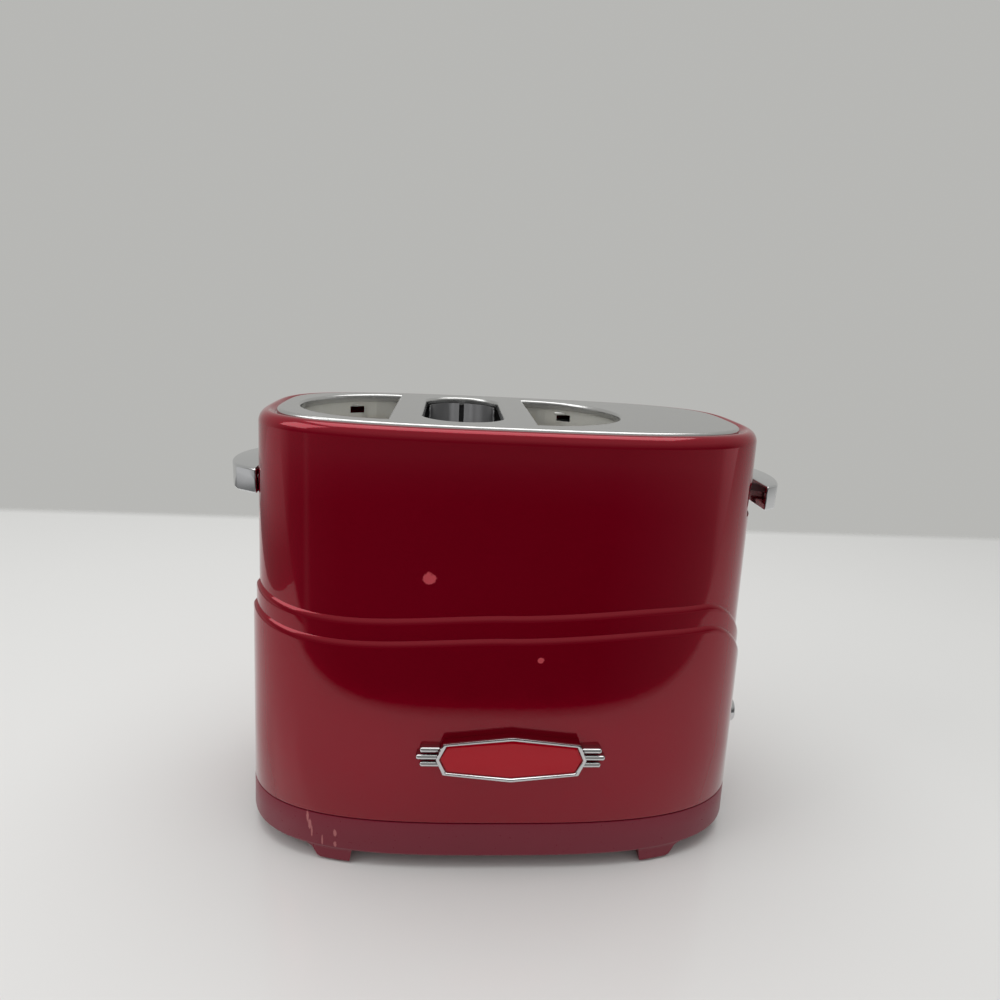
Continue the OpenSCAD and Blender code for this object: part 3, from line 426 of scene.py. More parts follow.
rim_lean = lean(RIM_Z - RIM_ROUND)
rim_rings = []
for k in range(1, 13):
    t = pi * k / 24
    rim_rings.append(level_ring(rim_lean - RIM_IN * (1 - cos(t)), RIM_Z - RIM_ROUND * (1 - sin(t))))
LEDGE_TOP, LEDGE_UNDER, LEDGE_IN, WALL_TOP = 203.4, 201, -11, 196
valley_profile = (
    (-4.5, 205.28), (-5.0, 204.95), (-5.4, 204.55), (-5.85, 204.27), (-6.25, 204.05), (-6.5, 203.7),
    (-6.8, 203.42), (-7.4, LEDGE_TOP), (LEDGE_IN, LEDGE_TOP), (LEDGE_IN, LEDGE_UNDER), (-6, LEDGE_UNDER),
    (lean(WALL_TOP) - WALL, WALL_TOP))
valley_rings = [level_ring(grown, z) for grown, z in valley_profile]
inner_rings = [
    wave_ring(-WALL, LINE_GAP + 3), wave_ring(OUT - WALL, -3), level_ring(OUT - WALL + seam_lean, SEAM_Z)]
seam_edge = [level_ring(OUT + seam_lean - 0.5, SEAM_Z), level_ring(OUT + seam_lean - 0.13, SEAM_Z + 0.16)]
shell_rings = seam_edge + skin_rings() + rim_rings + valley_rings + inner_rings + seam_edge[:1]
shell = draw_through("shell_red", shell_rings, closed=True)

POCKET_X, POCKET_LOW, POCKET_HIGH = 109.0, 166.45, 180.95
TRACK_HALF, TRACK_LOW = 28.5, 108.0
SLIT_HALF, SLIT_LOW, SLIT_HIGH = 3.2, 115.2, 175.8
LINING, LINING_HALF, LINING_END, CUT_END = 1.6, 38, 130, 150
for side, track_x, pocket_half in ((-1, 114.1, 24), (1, 115.2, 40)):
    def across(x0, x1):
        return (x0, x1) if side > 0 else (-x1, -x0)
    x0, x1 = across(POCKET_X - LINING, LINING_END)
    back = block("back", (x0, -LINING_HALF, POCKET_LOW - LINING), (x1, LINING_HALF, POCKET_HIGH + LINING))
    x0, x1 = across(track_x - LINING, LINING_END)
    lower = block(
        "lower", (x0, -TRACK_HALF - LINING, TRACK_LOW - LINING), (x1, TRACK_HALF + LINING, POCKET_LOW))
    combine(back, lower, "UNION")
    inside = draw_through("inside", skin_rings(0.7), capped=True)
    combine(back, inside, "INTERSECT")
    combine(shell, back, "UNION")
    for low, high in (
            ((POCKET_X, -pocket_half, POCKET_LOW), (CUT_END, pocket_half, POCKET_HIGH)),
            ((track_x, -TRACK_HALF, TRACK_LOW), (CUT_END, TRACK_HALF, POCKET_LOW + 1)),
            ((POCKET_X - 5, -SLIT_HALF, SLIT_LOW), (CUT_END, SLIT_HALF, SLIT_HIGH))):
        x0, x1 = across(low[0], high[0])
        combine(shell, block("cut", (x0, low[1], low[2]), (x1, high[1], high[2])), "DIFFERENCE")
DIAL_Y, STOP_Y, CONTROL_Z = 10, -19, 57
BUSH_HOLE_R, STOP_HOLE_R = 5.2, 6.55
for y, radius in ((DIAL_Y, BUSH_HOLE_R), (STOP_Y, STOP_HOLE_R)):
    combine(shell, rod("cut", radius, (105, y, CONTROL_Z), (1, 0, 0), 30), "DIFFERENCE")
smooth(shell, 38)


def spot(tree, position, middle, radius, ragged, soft=0.25):
    """A mask, 1 within a ragged blot round a place on the surface."""
    apart = add_node(tree, "VectorMath", {0: position, 1: Vector(middle) * MM}, operation="SUBTRACT")
    scaled = add_node(
        tree, "VectorMath", {0: apart.outputs[0], 1: [1 / (r * MM) for r in radius]}, operation="MULTIPLY")
    length = add_node(tree, "VectorMath", {0: scaled.outputs[0]}, operation="LENGTH")
    rough = add_node(tree, "TexNoise", {"Vector": position, "Scale": ragged, "Detail": 3.0})
    edge = add_node(
        tree, "Math", {0: rough.outputs["Fac"], 1: 1.3, 2: length.outputs["Value"]}, operation="MULTIPLY_ADD")
    return add_node(
        tree, "MapRange", {"Value": edge.outputs[0], "From Min": 1.65 + soft, "From Max": 1.65}).outputs[0]


def mix_colour(tree, mask, first, second):
    """Goes from the first colour to the second where the mask rises from 0 to 1."""
    node = add_node(tree, "Mix", {"Factor": mask}, data_type="RGBA")
    for socket, value in ((node.inputs[6], first), (node.inputs[7], second)):
        if isinstance(value, bpy.types.NodeSocket):
            tree.links.new(value, socket)
        else:
            socket.default_value = (*value, 1)
    return node.outputs[2]


def lacquer(name, deep, light, chips=(), metal=0.4, coat=1.41):
    """Glossy lacquer: a red ground with a soft metallic glow under a hard clear coat."""
    material = bpy.data.materials.new(name)
    tree, shader = nodes_of(material)
    position = add_node(tree, "TexCoord").outputs["Object"]
    cloud = add_node(tree, "TexNoise", {"Vector": position, "Scale": 14.0, "Detail": 2.0})
    colour = mix_colour(tree, cloud.outputs["Fac"], deep, light)
    bare = None
    for middle, radius in chips:
        mask = spot(tree, position, middle, radius, 420.0)
        if bare is None:
            bare = mask
        else:
            bare = add_node(tree, "Math", {0: bare, 1: mask}, operation="MAXIMUM").outputs[0]
    if bare is not None:
        colour = mix_colour(tree, bare, colour, (0.56, 0.075, 0.095))
        metallic = add_node(tree, "MapRange", {"Value": bare, "To Min": metal, "To Max": 0.0})
        tree.links.new(metallic.outputs[0], shader.inputs["Metallic"])
    else:
        shader.inputs["Metallic"].default_value = metal
    tree.links.new(colour, shader.inputs["Base Color"])
    wear = add_node(tree, "TexNoise", {"Vector": position, "Scale": 60.0, "Detail": 4.0})
    rough = add_node(tree, "MapRange", {"Value": wear.outputs["Fac"], "From Min": 0.3, "From Max": 0.7,
                                        "To Min": 0.12, "To Max": 0.20})
    tree.links.new(rough.outputs[0], shader.inputs["Roughness"])
    peel = add_node(tree, "TexNoise", {"Vector": position, "Scale": 260.0, "Detail": 1.0})
    bump = add_node(tree, "Bump", {"Height": peel.outputs["Fac"], "Strength": 0.02, "Distance": 0.0004})
    tree.links.new(bump.outputs[0], shader.inputs["Coat Normal"])
    tree.links.new(bump.outputs[0], shader.inputs["Normal"])
    shader.inputs["Specular IOR Level"].default_value = 0.0
    shader.inputs["Coat Weight"].default_value = 1.0
    shader.inputs["Coat Roughness"].default_value = 0.03
    shader.inputs["Coat IOR"].default_value = coat
    return material


def dress(piece, material, body, slot, *nodes):
    """Gives a piece its finish, the body it moves with and the solids it stands for."""
    piece.data.materials.clear()
    piece.data.materials.append(material)
    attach(piece, body)
    if nodes:
        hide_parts(*nodes)


red_lacquer = lacquer(
    "red_lacquer", (0.245, 0.0, 0.010), (0.275, 0.0, 0.014),
    chips=(((-35.4, -61.2, 141.9), (2.7, 9, 2.3)), ((13.9, -62.5, 106.8), (1.6, 9, 1.2))))
dress(shell, red_lacquer, "body", "red_shell", "outer_shell")

# ---- Base -------------------------------------------------------------------------------------
# Moulded red plastic, a little duller than the shell. Its wall goes on below the seam and turns
# under, and four feet with sloping outer sides stand out of it. Rubber pads lie under the feet.

BASE_OUT = OUT + seam_lean
BASE_Z = 6.5
LIP_OUT = BASE_OUT - WALL - 0.25
LIP_IN, LIP_Z = LIP_OUT - 1.6, SEAM_Z + 3
FLANGE_Z, FLANGE_W = 9.0, 9
TURN_R = 2.2
base_lean = BASE_OUT + DRAFT * (SEAM_Z - BASE_Z)
FOOT_X, FOOT_L, FOOT_SLOPE = 68.0, 14.0, 6.5
turns = [pi * k / 12 for k in range(7)]
base_profile = [
    (LIP_IN, FLANGE_Z), (LIP_IN, LIP_Z), (LIP_OUT, LIP_Z), (LIP_OUT, SEAM_Z - 0.4),
    (BASE_OUT - 0.5, SEAM_Z - 0.4), (BASE_OUT - 0.14, SEAM_Z - 0.53), (BASE_OUT, SEAM_Z - 0.9),
    (BASE_OUT + DRAFT * 8, SEAM_Z - 8)]
base_profile += [(base_lean - TURN_R * (1 - cos(t)), BASE_Z + TURN_R * (1 - sin(t))) for t in turns]
base_profile += [(base_lean - FLANGE_W, BASE_Z), (base_lean - FLANGE_W, FLANGE_Z), (LIP_IN, FLANGE_Z)]
base = draw_through("base_red", [level_ring(grown, z) for grown, z in base_profile], closed=True)


def foot_at(sx, sy):
    """A foot, drawn down from the base's underside and narrowed on its outer side."""
    steps = 16

    def foot_ring(x1, grown_in, grown_out, z, inner):
        run = [inner + (x1 - inner) * k / steps for k in range(steps + 1)]
        outer = [(x, half_depth(grown_out, x)) for x in run]
        points = outer + [(x, half_depth(grown_in, x)) for x in reversed(run)]
        return [(sx * x, sy * y, z) for x, y in points]
    wide, narrow = FOOT_X + FOOT_L + FOOT_SLOPE, FOOT_X + FOOT_L
    return draw_through("foot", [
        foot_ring(wide + 3.4, -1.2, base_lean - 0.35, BASE_Z + 2.6, FOOT_X - 0.6),
        foot_ring(wide + 1.2, -1.2, base_lean - 0.38, BASE_Z + 1.0, FOOT_X - 0.3),
        foot_ring(wide - 1.8, -1.1, base_lean - 0.45, BASE_Z - 0.5, FOOT_X),
        foot_ring(narrow + 2.2, -0.8, BASE_OUT + 0.2, 2.0, FOOT_X + 0.6),
        foot_ring(narrow + 0.6, -0.7, BASE_OUT + 0.1, 1.15, FOOT_X + 0.75),
        foot_ring(narrow - 0.3, -0.2, BASE_OUT - 0.35, 0.8, FOOT_X + 1.2)], capped=True)


corners = [(sx, sy) for sx in (-1, 1) for sy in (-1, 1)]
for sx, sy in corners:
    combine(base, foot_at(sx, sy), "UNION")
PAD_X, PAD_R = 75.5, 3.7
PAD_Y = half_depth(BASE_OUT, PAD_X) - 5
for sx, sy in corners:
    combine(base, rod("cut", PAD_R, (sx * PAD_X, sy * PAD_Y, -1), (0, 0, 1), 2.6), "DIFFERENCE")
crumb_slot = block("cut", (-73.2, 20, 8.8), (27.4, 90, 14.7))
combine(base, crumb_slot, "DIFFERENCE")
gland_hole = rod("cut", 5.4, (84, 20, 16), (0, 1, 0), 60)
combine(base, gland_hole, "DIFFERENCE")
smooth(base, 38)

red_plastic = bpy.data.materials.new("red_plastic")
tree, shader = nodes_of(red_plastic)
position = add_node(tree, "TexCoord").outputs["Object"]
cloud = add_node(tree, "TexNoise", {"Vector": position, "Scale": 18.0, "Detail": 3.0})
colour = mix_colour(tree, cloud.outputs["Fac"], (0.18, 0.004, 0.020), (0.21, 0.005, 0.025))
# Pale scratches on the wall above the front left foot
marks = None
for middle, radius in (
        ((-88.6, -58, 21.6), (0.5, 4, 2.2)), ((-87.6, -59, 18.0), (0.6, 4, 2.0)),
        ((-86.6, -59, 14.4), (0.35, 4, 2.4)),
        ((-81.6, -61, 10.8), (0.3, 4, 2.0)),
        ((-75.5, -62, 15.8), (0.65, 4, 1.4)), ((-75.5, -62, 9.8), (0.55, 4, 1.2))):
    mask = spot(tree, position, middle, radius, 900.0, 0.5)
    if marks is None:
        marks = mask
    else:
        marks = add_node(tree, "Math", {0: marks, 1: mask}, operation="MAXIMUM").outputs[0]
thin = add_node(tree, "MapRange", {"Value": marks, "To Max": 0.75})
colour = mix_colour(tree, thin.outputs[0], colour, (0.52, 0.17, 0.17))
tree.links.new(colour, shader.inputs["Base Color"])
grain = add_node(tree, "TexNoise", {"Vector": position, "Scale": 900.0, "Detail": 2.0})
rough = add_node(tree, "MapRange", {"Value": grain.outputs["Fac"], "To Min": 0.24, "To Max": 0.36})
tree.links.new(rough.outputs[0], shader.inputs["Roughness"])
bump = add_node(tree, "Bump", {"Height": grain.outputs["Fac"], "Strength": 0.08, "Distance": 0.0002})
tree.links.new(bump.outputs[0], shader.inputs["Normal"])
shader.inputs["Specular IOR Level"].default_value = 0.48
dress(base, red_plastic, "body", "red_base", "base")

# ---- Top plate --------------------------------------------------------------------------------
# Satin stainless sheet. Its outer edge is rolled over and catches the light, and round each of
# the three slots the sheet turns down into a short lip.

SLOTS_X, SLOT_HALF = -22.9, 41.0
MIDDLE_W, MIDDLE_SIDE = 36.4, 26.0
BRIDGE, BUN_W = 14.2, 43.6
BUN_LEFT_X = SLOTS_X - MIDDLE_W / 2 - BRIDGE
BUN_RIGHT_X = SLOTS_X + MIDDLE_W / 2 + BRIDGE


def bun_ring(side, grown, z, steps=64):
    """Ring of a bun slot: half an oval whose straight edge looks at the middle slot."""
    edge = BUN_LEFT_X if side < 0 else BUN_RIGHT_X
    ring = []
    for k in range(steps + 1):
        t = pi / 2 + pi * k / steps
        x = (BUN_W + grown) * cos(t) * (abs(cos(t)) + 0.0001) ** -0.08
        ring.append([x, (SLOT_HALF + grown) * sin(t), z])
    low = -(SLOT_HALF + grown)
    ring[0][0] = ring[-1][0] = grown
    ring += [[grown, low + (-2 * low) * k / 24, z] for k in range(1, 24)]
    return [(edge + (p[0] if side < 0 else -p[0]), p[1], p[2]) for p in ring]


def middle_ring(grown, z, steps=24):
    """Ring of the middle slot: straight sides and bowed ends."""
    s = SLOT_HALF - MIDDLE_SIDE
    r = (s * s + (MIDDLE_W / 2) ** 2) / (2 * s)
    reach = asin(MIDDLE_W / 2 / r)
    w = MIDDLE_W / 2 + grown
    top = []
    for k in range(steps + 1):
        t = pi / 2 + reach - 2 * reach * k / steps
        x = (r + grown) * cos(t) * w / ((r + grown) * sin(reach))
        top.append((x, SLOT_HALF - r + (r + grown) * sin(t)))
    y_side = top[-1][1]
    right = [(w, y_side - 2 * y_side * k / 20) for k in range(1, 20)]
    bottom = [(x, -y) for x, y in reversed(top)]
    left = [(-w, -y_side + 2 * y_side * k / 20) for k in range(1, 20)]
    return [(SLOTS_X + x, y, z) for x, y in top + right + bottom + left]


edge_profile = (
    (-7.9, 203.45), (-7.5, 203.9), (-7.4, 204.4), (-7.45, 204.9), (-7.65, 205.35), (-8.0, 205.7),
    (-8.45, 205.92), (-9.0, PLATE_Z), (-9.5, PLATE_Z))
plate = draw_through("top_plate_steel", [level_ring(grown, z) for grown, z in edge_profile])
lip_profile = (
    (1.6, PLATE_Z), (1.25, PLATE_Z), (0.82, 205.9), (0.45, 205.66), (0.17, 205.3), (0.04, 204.9),
    (0.0, 204.4), (0.0, 202.0))
lips = [
    draw_through("lip", [bun_ring(-1, grown, z) for grown, z in lip_profile]),
    draw_through("lip", [bun_ring(1, grown, z) for grown, z in lip_profile]),
    draw_through("lip", [middle_ring(grown, z) for grown, z in lip_profile])]
select_only(plate)
for lip in lips:
    lip.select_set(True)
bpy.ops.object.join()
bpy.ops.object.mode_set(mode="EDIT")
bpy.ops.mesh.select_mode(type="EDGE")
bpy.ops.mesh.select_all(action="DESELECT")
mesh = bmesh.from_edit_mesh(plate.data)
for edge in mesh.edges:
    if edge.is_boundary and all(abs(v.co.z - PLATE_Z * MM) < 1e-6 for v in edge.verts):
        edge.select_set(True)
bmesh.update_edit_mesh(plate.data)
bpy.ops.mesh.fill(use_beauty=True)
bpy.ops.mesh.select_all(action="SELECT")
bpy.ops.mesh.normals_make_consistent(inside=False)
bpy.ops.object.mode_set(mode="OBJECT")
mesh = plate.data
tallest = max(mesh.polygons, key=lambda f: f.center.z)
if tallest.normal.z < 0:
    mesh.flip_normals()
bpy.ops.object.modifier_add(type="SOLIDIFY")
sheet = plate.modifiers[-1]
sheet.thickness = 0.8 * MM
sheet.offset = -1
bpy.ops.object.modifier_apply(modifier=sheet.name)
smooth(plate, 40)


def sheet_metal(name, dark, light, rough_low, rough_high, streak=(6.0, 900.0, 900.0), bumpy=0.05, metal=1.0):
    """Satin sheet: fine streaks along the way it was rolled, and faint clouds."""
    material = bpy.data.materials.new(name)
    tree, shader = nodes_of(material)
    position = add_node(tree, "TexCoord").outputs["Object"]
    along = add_node(tree, "Mapping", {"Vector": position, "Scale": streak})
    streaks = add_node(tree, "TexNoise", {"Vector": along.outputs[0], "Scale": 1.0, "Detail": 3.0})
    clouds = add_node(tree, "TexNoise", {"Vector": position, "Scale": 22.0, "Detail": 3.0})
    both = add_node(tree, "Math", {0: streaks.outputs["Fac"], 1: clouds.outputs["Fac"]}, operation="ADD")
    half = add_node(tree, "Math", {0: both.outputs[0], 1: 0.5}, operation="MULTIPLY")
    colour = mix_colour(tree, half.outputs[0], dark, light)
    tree.links.new(colour, shader.inputs["Base Color"])
    rough = add_node(tree, "MapRange", {"Value": half.outputs[0], "From Min": 0.3, "From Max": 0.7,
                                        "To Min": rough_low, "To Max": rough_high})
    tree.links.new(rough.outputs[0], shader.inputs["Roughness"])
    bump = add_node(tree, "Bump", {"Height": streaks.outputs["Fac"], "Strength": bumpy, "Distance": 0.0002})
    tree.links.new(bump.outputs[0], shader.inputs["Normal"])
    shader.inputs["Metallic"].default_value = metal
    return material


satin_steel = sheet_metal("satin_steel", (0.56, 0.56, 0.56), (0.60, 0.60, 0.59), 0.22, 0.27, bumpy=0.012)
dress(plate, satin_steel, "body", "satin_steel", "top_plate")

# ---- Bun wells --------------------------------------------------------------------------------
# Bright drawn steel liners under the half-oval slots, open towards the heaters. A small square
# hole with a pressed tab above it shows near the top of each back wall.


def smoothed_copy(node, name):
    """A merged and smoothed copy of a CAD node, which it will stand for."""
    solid = frame["nodes"][node]
    bpy.ops.object.select_all(action="DESELECT")
    copy = bpy.data.objects.new(name, solid.data.copy())
    copy.data.name = name
    bpy.context.scene.collection.objects.link(copy)
    select_only(copy)
    bpy.ops.object.mode_set(mode="EDIT")
    bpy.ops.mesh.select_all(action="SELECT")
    bpy.ops.mesh.remove_doubles(threshold=2e-6)
    bpy.ops.object.mode_set(mode="OBJECT")
    smooth(copy)
    return copy


well_steel = sheet_metal(
    "well_steel", (0.90, 0.90, 0.87), (0.93, 0.93, 0.90), 0.20, 0.24, (60.0, 60.0, 10.0), 0.01, 0.55)
HOLE_PLACE = 0.52  # how far out the hole is, as a share of the slot's width
for side, word in ((-1, "left"), (1, "right")):
    well = smoothed_copy("bun_well_" + word, "bun_well_steel_" + word)
    hole_x = (BUN_LEFT_X if side < 0 else BUN_RIGHT_X) + side * BUN_W * HOLE_PLACE
    tab = block("tab", (hole_x - 5.0, 36.2, 199.4), (hole_x + 0.6, 38.2, 200.8))
    bevel_sharp(tab, 0.3, 2)
    select_only(well)
    tab.select_set(True)
    bpy.ops.object.join()
    smooth(well)
    dress(well, well_steel, "body", "well_steel", "bun_well_" + word)

# ---- Middle well and cage ---------------------------------------------------------------------
# Dark coated sheet. The cage lifts out with the sausages: a curved front and back, each split in
# the middle, on a punched floor, with wires along both sides.

dark_sheet = sheet_metal(
    "dark_sheet", (0.06, 0.06, 0.063), (0.085, 0.085, 0.088), 0.26, 0.36, (300.0, 300.0, 300.0), 0.04, 0.3)
middle_well = smoothed_copy("hot_dog_well", "middle_well_sheet")
dress(middle_well, dark_sheet, "body", "dark_sheet", "hot_dog_well")
cage = smoothed_copy("hot_dog_cage", "cage_sheet")
dress(cage, dark_sheet, "cage", "dark_sheet", "hot_dog_cage")

# ---- Levers -----------------------------------------------------------------------------------
# Chrome-plated knobs, D-shaped from above, on flat steel bars that run in through the shell.
# Both press down together, because they sit on the same sprung carriage.

chrome = bpy.data.materials.new("chrome")
tree, shader = nodes_of(chrome)
position = add_node(tree, "TexCoord").outputs["Object"]
haze = add_node(tree, "TexNoise", {"Vector": position, "Scale": 120.0, "Detail": 4.0})
colour = mix_colour(tree, haze.outputs["Fac"], (0.60, 0.61, 0.62), (0.68, 0.68, 0.69))
tree.links.new(colour, shader.inputs["Base Color"])
rough = add_node(tree, "MapRange", {"Value": haze.outputs["Fac"], "From Min": 0.35, "From Max": 0.7,
                                    "To Min": 0.05, "To Max": 0.12})
tree.links.new(rough.outputs[0], shader.inputs["Roughness"])
shader.inputs["Metallic"].default_value = 1.0

LEVER_L, LEVER_H, LEVER_Z = 55.0, 12.0, 173.0
KNOB_BOW, KNOB_SLANT = 6.4, 0.65


def knob_ring(side, reach, width, z, steps=40):
    """Plan of a knob: a straight back, slanted ends and a bowed front."""
    half = LEVER_L / 2 - KNOB_SLANT * (width - KNOB_BOW)
    r = (half * half + KNOB_BOW * KNOB_BOW) / (2 * KNOB_BOW)
    sweep = asin(half / r)
    back, end = reach - width, LEVER_L / 2
    points = [(back, -end)]
    for k in range(steps + 1):
        t = -sweep + 2 * sweep * k / steps
        points.append((reach - r + r * cos(t), r * sin(t)))
    points.append((back, end))
    points += [(back, end * (1 - k / 6)) for k in range(1, 12)]
    return [(side * x, y, LEVER_Z + z) for x, y in points]


for side, word, reach, width in ((-1, "left", 131.0, 16.6), (1, "right", 134.0, 13.0)):
    rings = [knob_ring(side, reach, width, z) for z in (-LEVER_H / 2, LEVER_H / 2)]
    knob = draw_through("lever_chrome_" + word, rings, capped=True)
    bevel_sharp(knob, 1.1, 5, 25)
    smooth(knob, 30)
    dress(knob, chrome, "carriage", "chrome_trim", "lever_" + word)

# ---- Badge ------------------------------------------------------------------------------------
# A raised dark red pad with a chrome frame and three chrome bars at each side, round a bare
# glossy red inlay.

BADGE_X, BADGE_Z, BADGE_W, BADGE_H = 3.4, 60.8, 67.2, 22.6
CORNER = 30.4 / 33.6
BADGE_FACE = -(HALF_D + OUT + lean(BADGE_Z)) - 4.6
BADGE_BACK = -HALF_D + 4


def badge_ring(drawn_in, y):
    """The badge's eight-sided outline at depth y, drawn in by so many millimetres."""
    w, h = BADGE_W / 2 - drawn_in, BADGE_H / 2 - drawn_in
    c, s = w * CORNER, h * 0.69
    points = [(-w, 0), (-c, -s), (0, -h), (c, -s), (w, 0), (c, s), (0, h), (-c, s)]
    ring = []
    for (x0, z0), (x1, z1) in zip(points, points[1:] + points[:1]):
        for k in range(6):
            part = (0.02, 0.2, 0.4, 0.6, 0.8, 0.98)[k]
            ring.append((BADGE_X + x0 + (x1 - x0) * part, y, BADGE_Z + z0 + (z1 - z0) * part))
    return ring


wall_cut = draw_through("wall_cut", skin_rings(-0.05), capped=True)


def cut_by_wall(piece):
    """Cuts off what would reach in past the shell's outside."""
    select_only(wall_cut)
    bpy.ops.object.duplicate()
    combine(piece, bpy.context.object, "DIFFERENCE")


pad = draw_through(
    "badge_pad_red", [badge_ring(0.2, BADGE_FACE + 1), badge_ring(0.2, BADGE_BACK)], capped=True)
cut_by_wall(pad)
smooth(pad, 25)
red_pad = lacquer("red_pad", (0.11, 0.0, 0.004), (0.13, 0.0, 0.006), metal=0.1)
dress(pad, red_pad, "body", "red_pad", "badge_pad")

bezel_profile = (
    (0.0, 1.2), (0.0, 0.35), (0.12, 0.1), (0.4, 0), (1.1, 0), (1.45, 0.12), (1.7, 0.5), (1.9, 1.2),
    (0.0, 1.2))
bezel = draw_through(
    "badge_frame_chrome", [badge_ring(drawn_in, BADGE_FACE + back) for drawn_in, back in bezel_profile],
    closed=True)
BAR_L, BAR_H, BAR_PITCH, BARS_Z = 11, 2.4, 3.6, BADGE_Z - 0.25
bars = []
for side in (-1, 1):
    for k in (-1, 0, 1):
        length = BAR_L - abs(k) * 1.7
        x0 = BADGE_X + (BADGE_W / 2 - 2.2 if side > 0 else -BADGE_W / 2 + 2.2 - length)
        z0 = BARS_Z + k * BAR_PITCH - BAR_H / 2
        bar = block("bar", (x0, BADGE_FACE + 2, z0), (x0 + length, BADGE_BACK, z0 + BAR_H))
        bevel_sharp(bar, 1.0, 4)
        cut_by_wall(bar)
        frame_cut = [badge_ring(0.15, BADGE_FACE - 1), badge_ring(0.15, BADGE_BACK + 1)]
        combine(bar, draw_through("cut", frame_cut, capped=True), "DIFFERENCE")
        bars.append(bar)
select_only(bezel)
for bar in bars:
    bar.select_set(True)
bpy.ops.object.join()
smooth(bezel, 30)
dress(bezel, chrome, "body", "chrome_trim", "badge_bezel")
bpy.data.objects.remove(wall_cut)

inlay_profile = ((2.0, 1.0), (2.0, 0.75), (2.3, 0.62), (3.2, 0.55))
inlay = draw_through(
    "badge_inlay_red", [badge_ring(drawn_in, BADGE_FACE + back) for drawn_in, back in inlay_profile],
    capped=True)
smooth(inlay, 30)
red_enamel = lacquer("red_enamel", (0.44, 0.0, 0.010), (0.48, 0.0, 0.012), metal=0.15, coat=1.4)
dress(inlay, red_enamel, "body", "red_inlay", "badge_inlay")

# ---- Dial and stop button ---------------------------------------------------------------------
# Both chrome, low on the right end. The dial sets how brown the buns get and turns on a short
# shaft; the round button beside it stops the toasting.

DIAL_R = 12.5
WALL_X = HALF_W + OUT + lean(CONTROL_Z)
DIAL_BACK = WALL_X + DRAFT * DIAL_R + 0.6


def turned(name, y, profile):
    """A turned piece along +X at the controls' height: each profile point is a place and a radius."""
    turns = [2 * pi * k / 96 for k in range(96)]
    rings = [[(x, y + r * cos(t), CONTROL_Z + r * sin(t)) for t in turns] for x, r in profile]
    return draw_through(name, rings, capped=True)


dial = turned("dial_chrome", DIAL_Y, [(DIAL_BACK + x, r) for x, r in (
    (0, 12.1), (0.12, 12.4), (0.4, DIAL_R), (1.5, DIAL_R), (1.95, 12.35), (2.2, 12.0), (2.3, 11.3),
    (2.6, 10.95), (5.6, 10.45), (6.2, 10.25), (6.6, 9.9), (6.85, 9.3), (6.95, 8.6), (6.85, 8.0),
    (6.8, 7.0), (6.8, 2.0))])
smooth(dial, 30)
dress(dial, chrome, "dial", "chrome_trim", "dial")

BUTTON_FACE, BUTTON_BACK, BUTTON_R = WALL_X + 2.2, 114.4, 6.4
STEM_END, STEM_R, SEAT, SEAT_R = 107.0, 1.8, 116.3, 4.3
COLLAR, COLLAR_END, COLLAR_R = 115.4, 116.6, 7.6
button = turned("stop_button_chrome", STOP_Y, [
    (STEM_END, STEM_R), (SEAT, STEM_R), (SEAT, SEAT_R), (BUTTON_BACK, SEAT_R), (BUTTON_BACK, BUTTON_R),
    (COLLAR, BUTTON_R), (COLLAR, COLLAR_R), (COLLAR_END, COLLAR_R), (COLLAR_END, BUTTON_R),
    (BUTTON_FACE - 1.2, BUTTON_R), (BUTTON_FACE - 0.75, 6.28), (BUTTON_FACE - 0.4, 5.95),
    (BUTTON_FACE - 0.15, 5.4), (BUTTON_FACE - 0.02, 4.4), (BUTTON_FACE, 2.4)])
smooth(button, 30)
dress(button, chrome, "stop_button", "chrome_trim", "stop_button")

# ---- Pieces that stay as they were made --------------------------------------------------------
# Sheet-metal frames, springs, mica boards, rods, gland, screws and the other insides keep their
# solids, and each gets the finish of what it is made of.


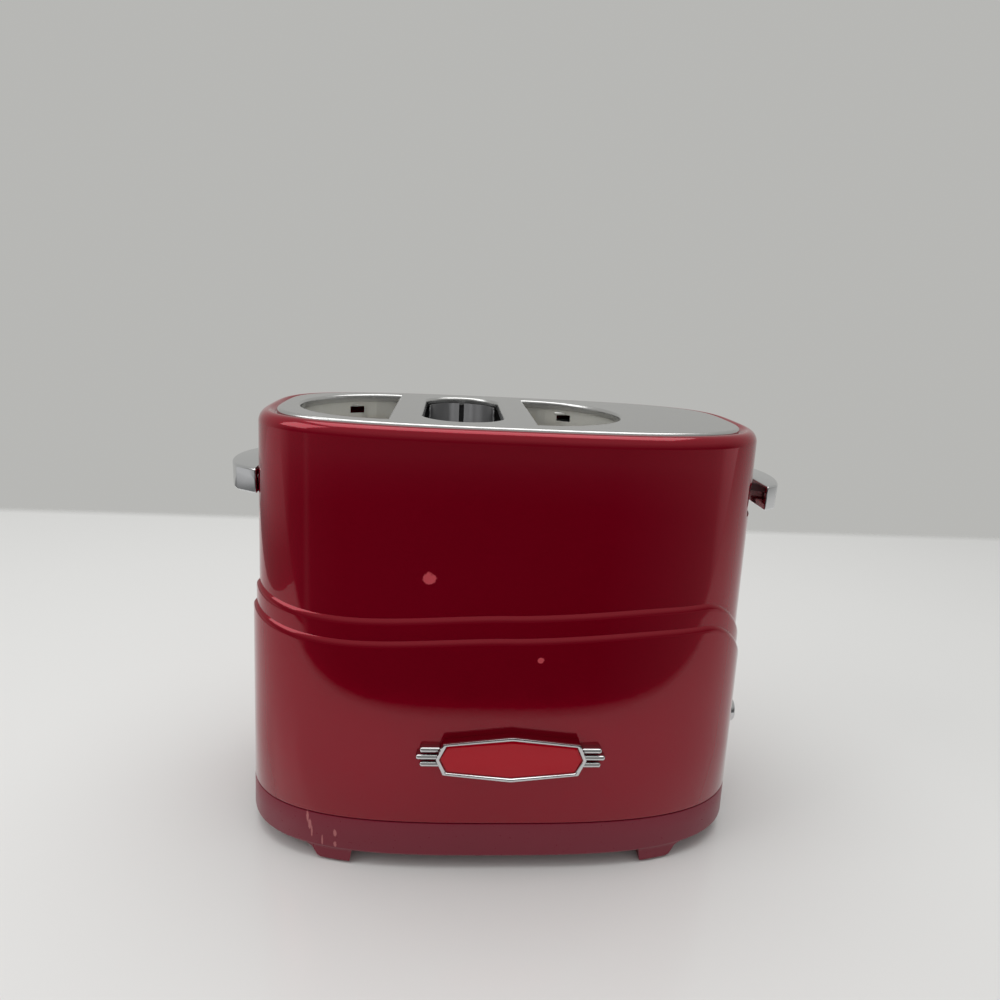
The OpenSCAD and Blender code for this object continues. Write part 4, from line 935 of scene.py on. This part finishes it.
def moulded(name, dark, light, rough_low, rough_high, grain_scale=700.0):
    """Moulded or pressed material: a fine grain in colour, gloss and surface."""
    material = bpy.data.materials.new(name)
    tree, shader = nodes_of(material)
    position = add_node(tree, "TexCoord").outputs["Object"]
    grain = add_node(tree, "TexNoise", {"Vector": position, "Scale": grain_scale, "Detail": 3.0})
    colour = mix_colour(tree, grain.outputs["Fac"], dark, light)
    tree.links.new(colour, shader.inputs["Base Color"])
    rough = add_node(
        tree, "MapRange", {"Value": grain.outputs["Fac"], "To Min": rough_low, "To Max": rough_high})
    tree.links.new(rough.outputs[0], shader.inputs["Roughness"])
    bump = add_node(tree, "Bump", {"Height": grain.outputs["Fac"], "Strength": 0.1, "Distance": 0.0003})
    tree.links.new(bump.outputs[0], shader.inputs["Normal"])
    return material


finishes = {
    "sheet_steel": sheet_metal(
        "sheet_steel", (0.42, 0.43, 0.44), (0.58, 0.59, 0.60), 0.28, 0.45, (90.0, 90.0, 90.0)),
    "screw_steel": sheet_metal(
        "screw_steel", (0.50, 0.50, 0.51), (0.64, 0.64, 0.65), 0.16, 0.30, (300.0, 300.0, 60.0)),
    "chrome_trim": chrome,
    "mica": moulded("mica", (0.42, 0.34, 0.20), (0.62, 0.53, 0.36), 0.45, 0.7, 260.0),
    "heating_wire": sheet_metal("heating_ribbon", (0.16, 0.13, 0.12), (0.28, 0.24, 0.21), 0.35, 0.55),
    "rubber": moulded("black_rubber", (0.018, 0.018, 0.018), (0.035, 0.035, 0.035), 0.6, 0.85),
    "brass": sheet_metal("sintered_bronze", (0.42, 0.29, 0.11), (0.60, 0.44, 0.20), 0.30, 0.50),
    "copper_wire": sheet_metal(
        "enamelled_copper", (0.38, 0.15, 0.06), (0.56, 0.25, 0.11), 0.22, 0.36, (40.0, 40.0, 2600.0)),
    "board_green": moulded("solder_mask", (0.012, 0.085, 0.03), (0.02, 0.12, 0.045), 0.2, 0.35),
    "black_plastic": moulded("black_plastic", (0.014, 0.014, 0.015), (0.028, 0.028, 0.03), 0.35, 0.55),
    "white_plastic": moulded("ivory_plastic", (0.58, 0.57, 0.52), (0.68, 0.67, 0.62), 0.35, 0.5),
}
replaced = {
    "outer_shell", "base", "top_plate", "bun_well_left", "bun_well_right", "hot_dog_well", "hot_dog_cage",
    "lever_left", "lever_right", "badge_pad", "badge_bezel", "badge_inlay", "dial", "stop_button"}
slot_of = {part["node"]: part["material_slot"] for part in frame["record"]["subparts"]}
for node, solid in frame["nodes"].items():
    if node not in replaced:
        solid.data.materials.clear()
        solid.data.materials.append(finishes[slot_of[node]])
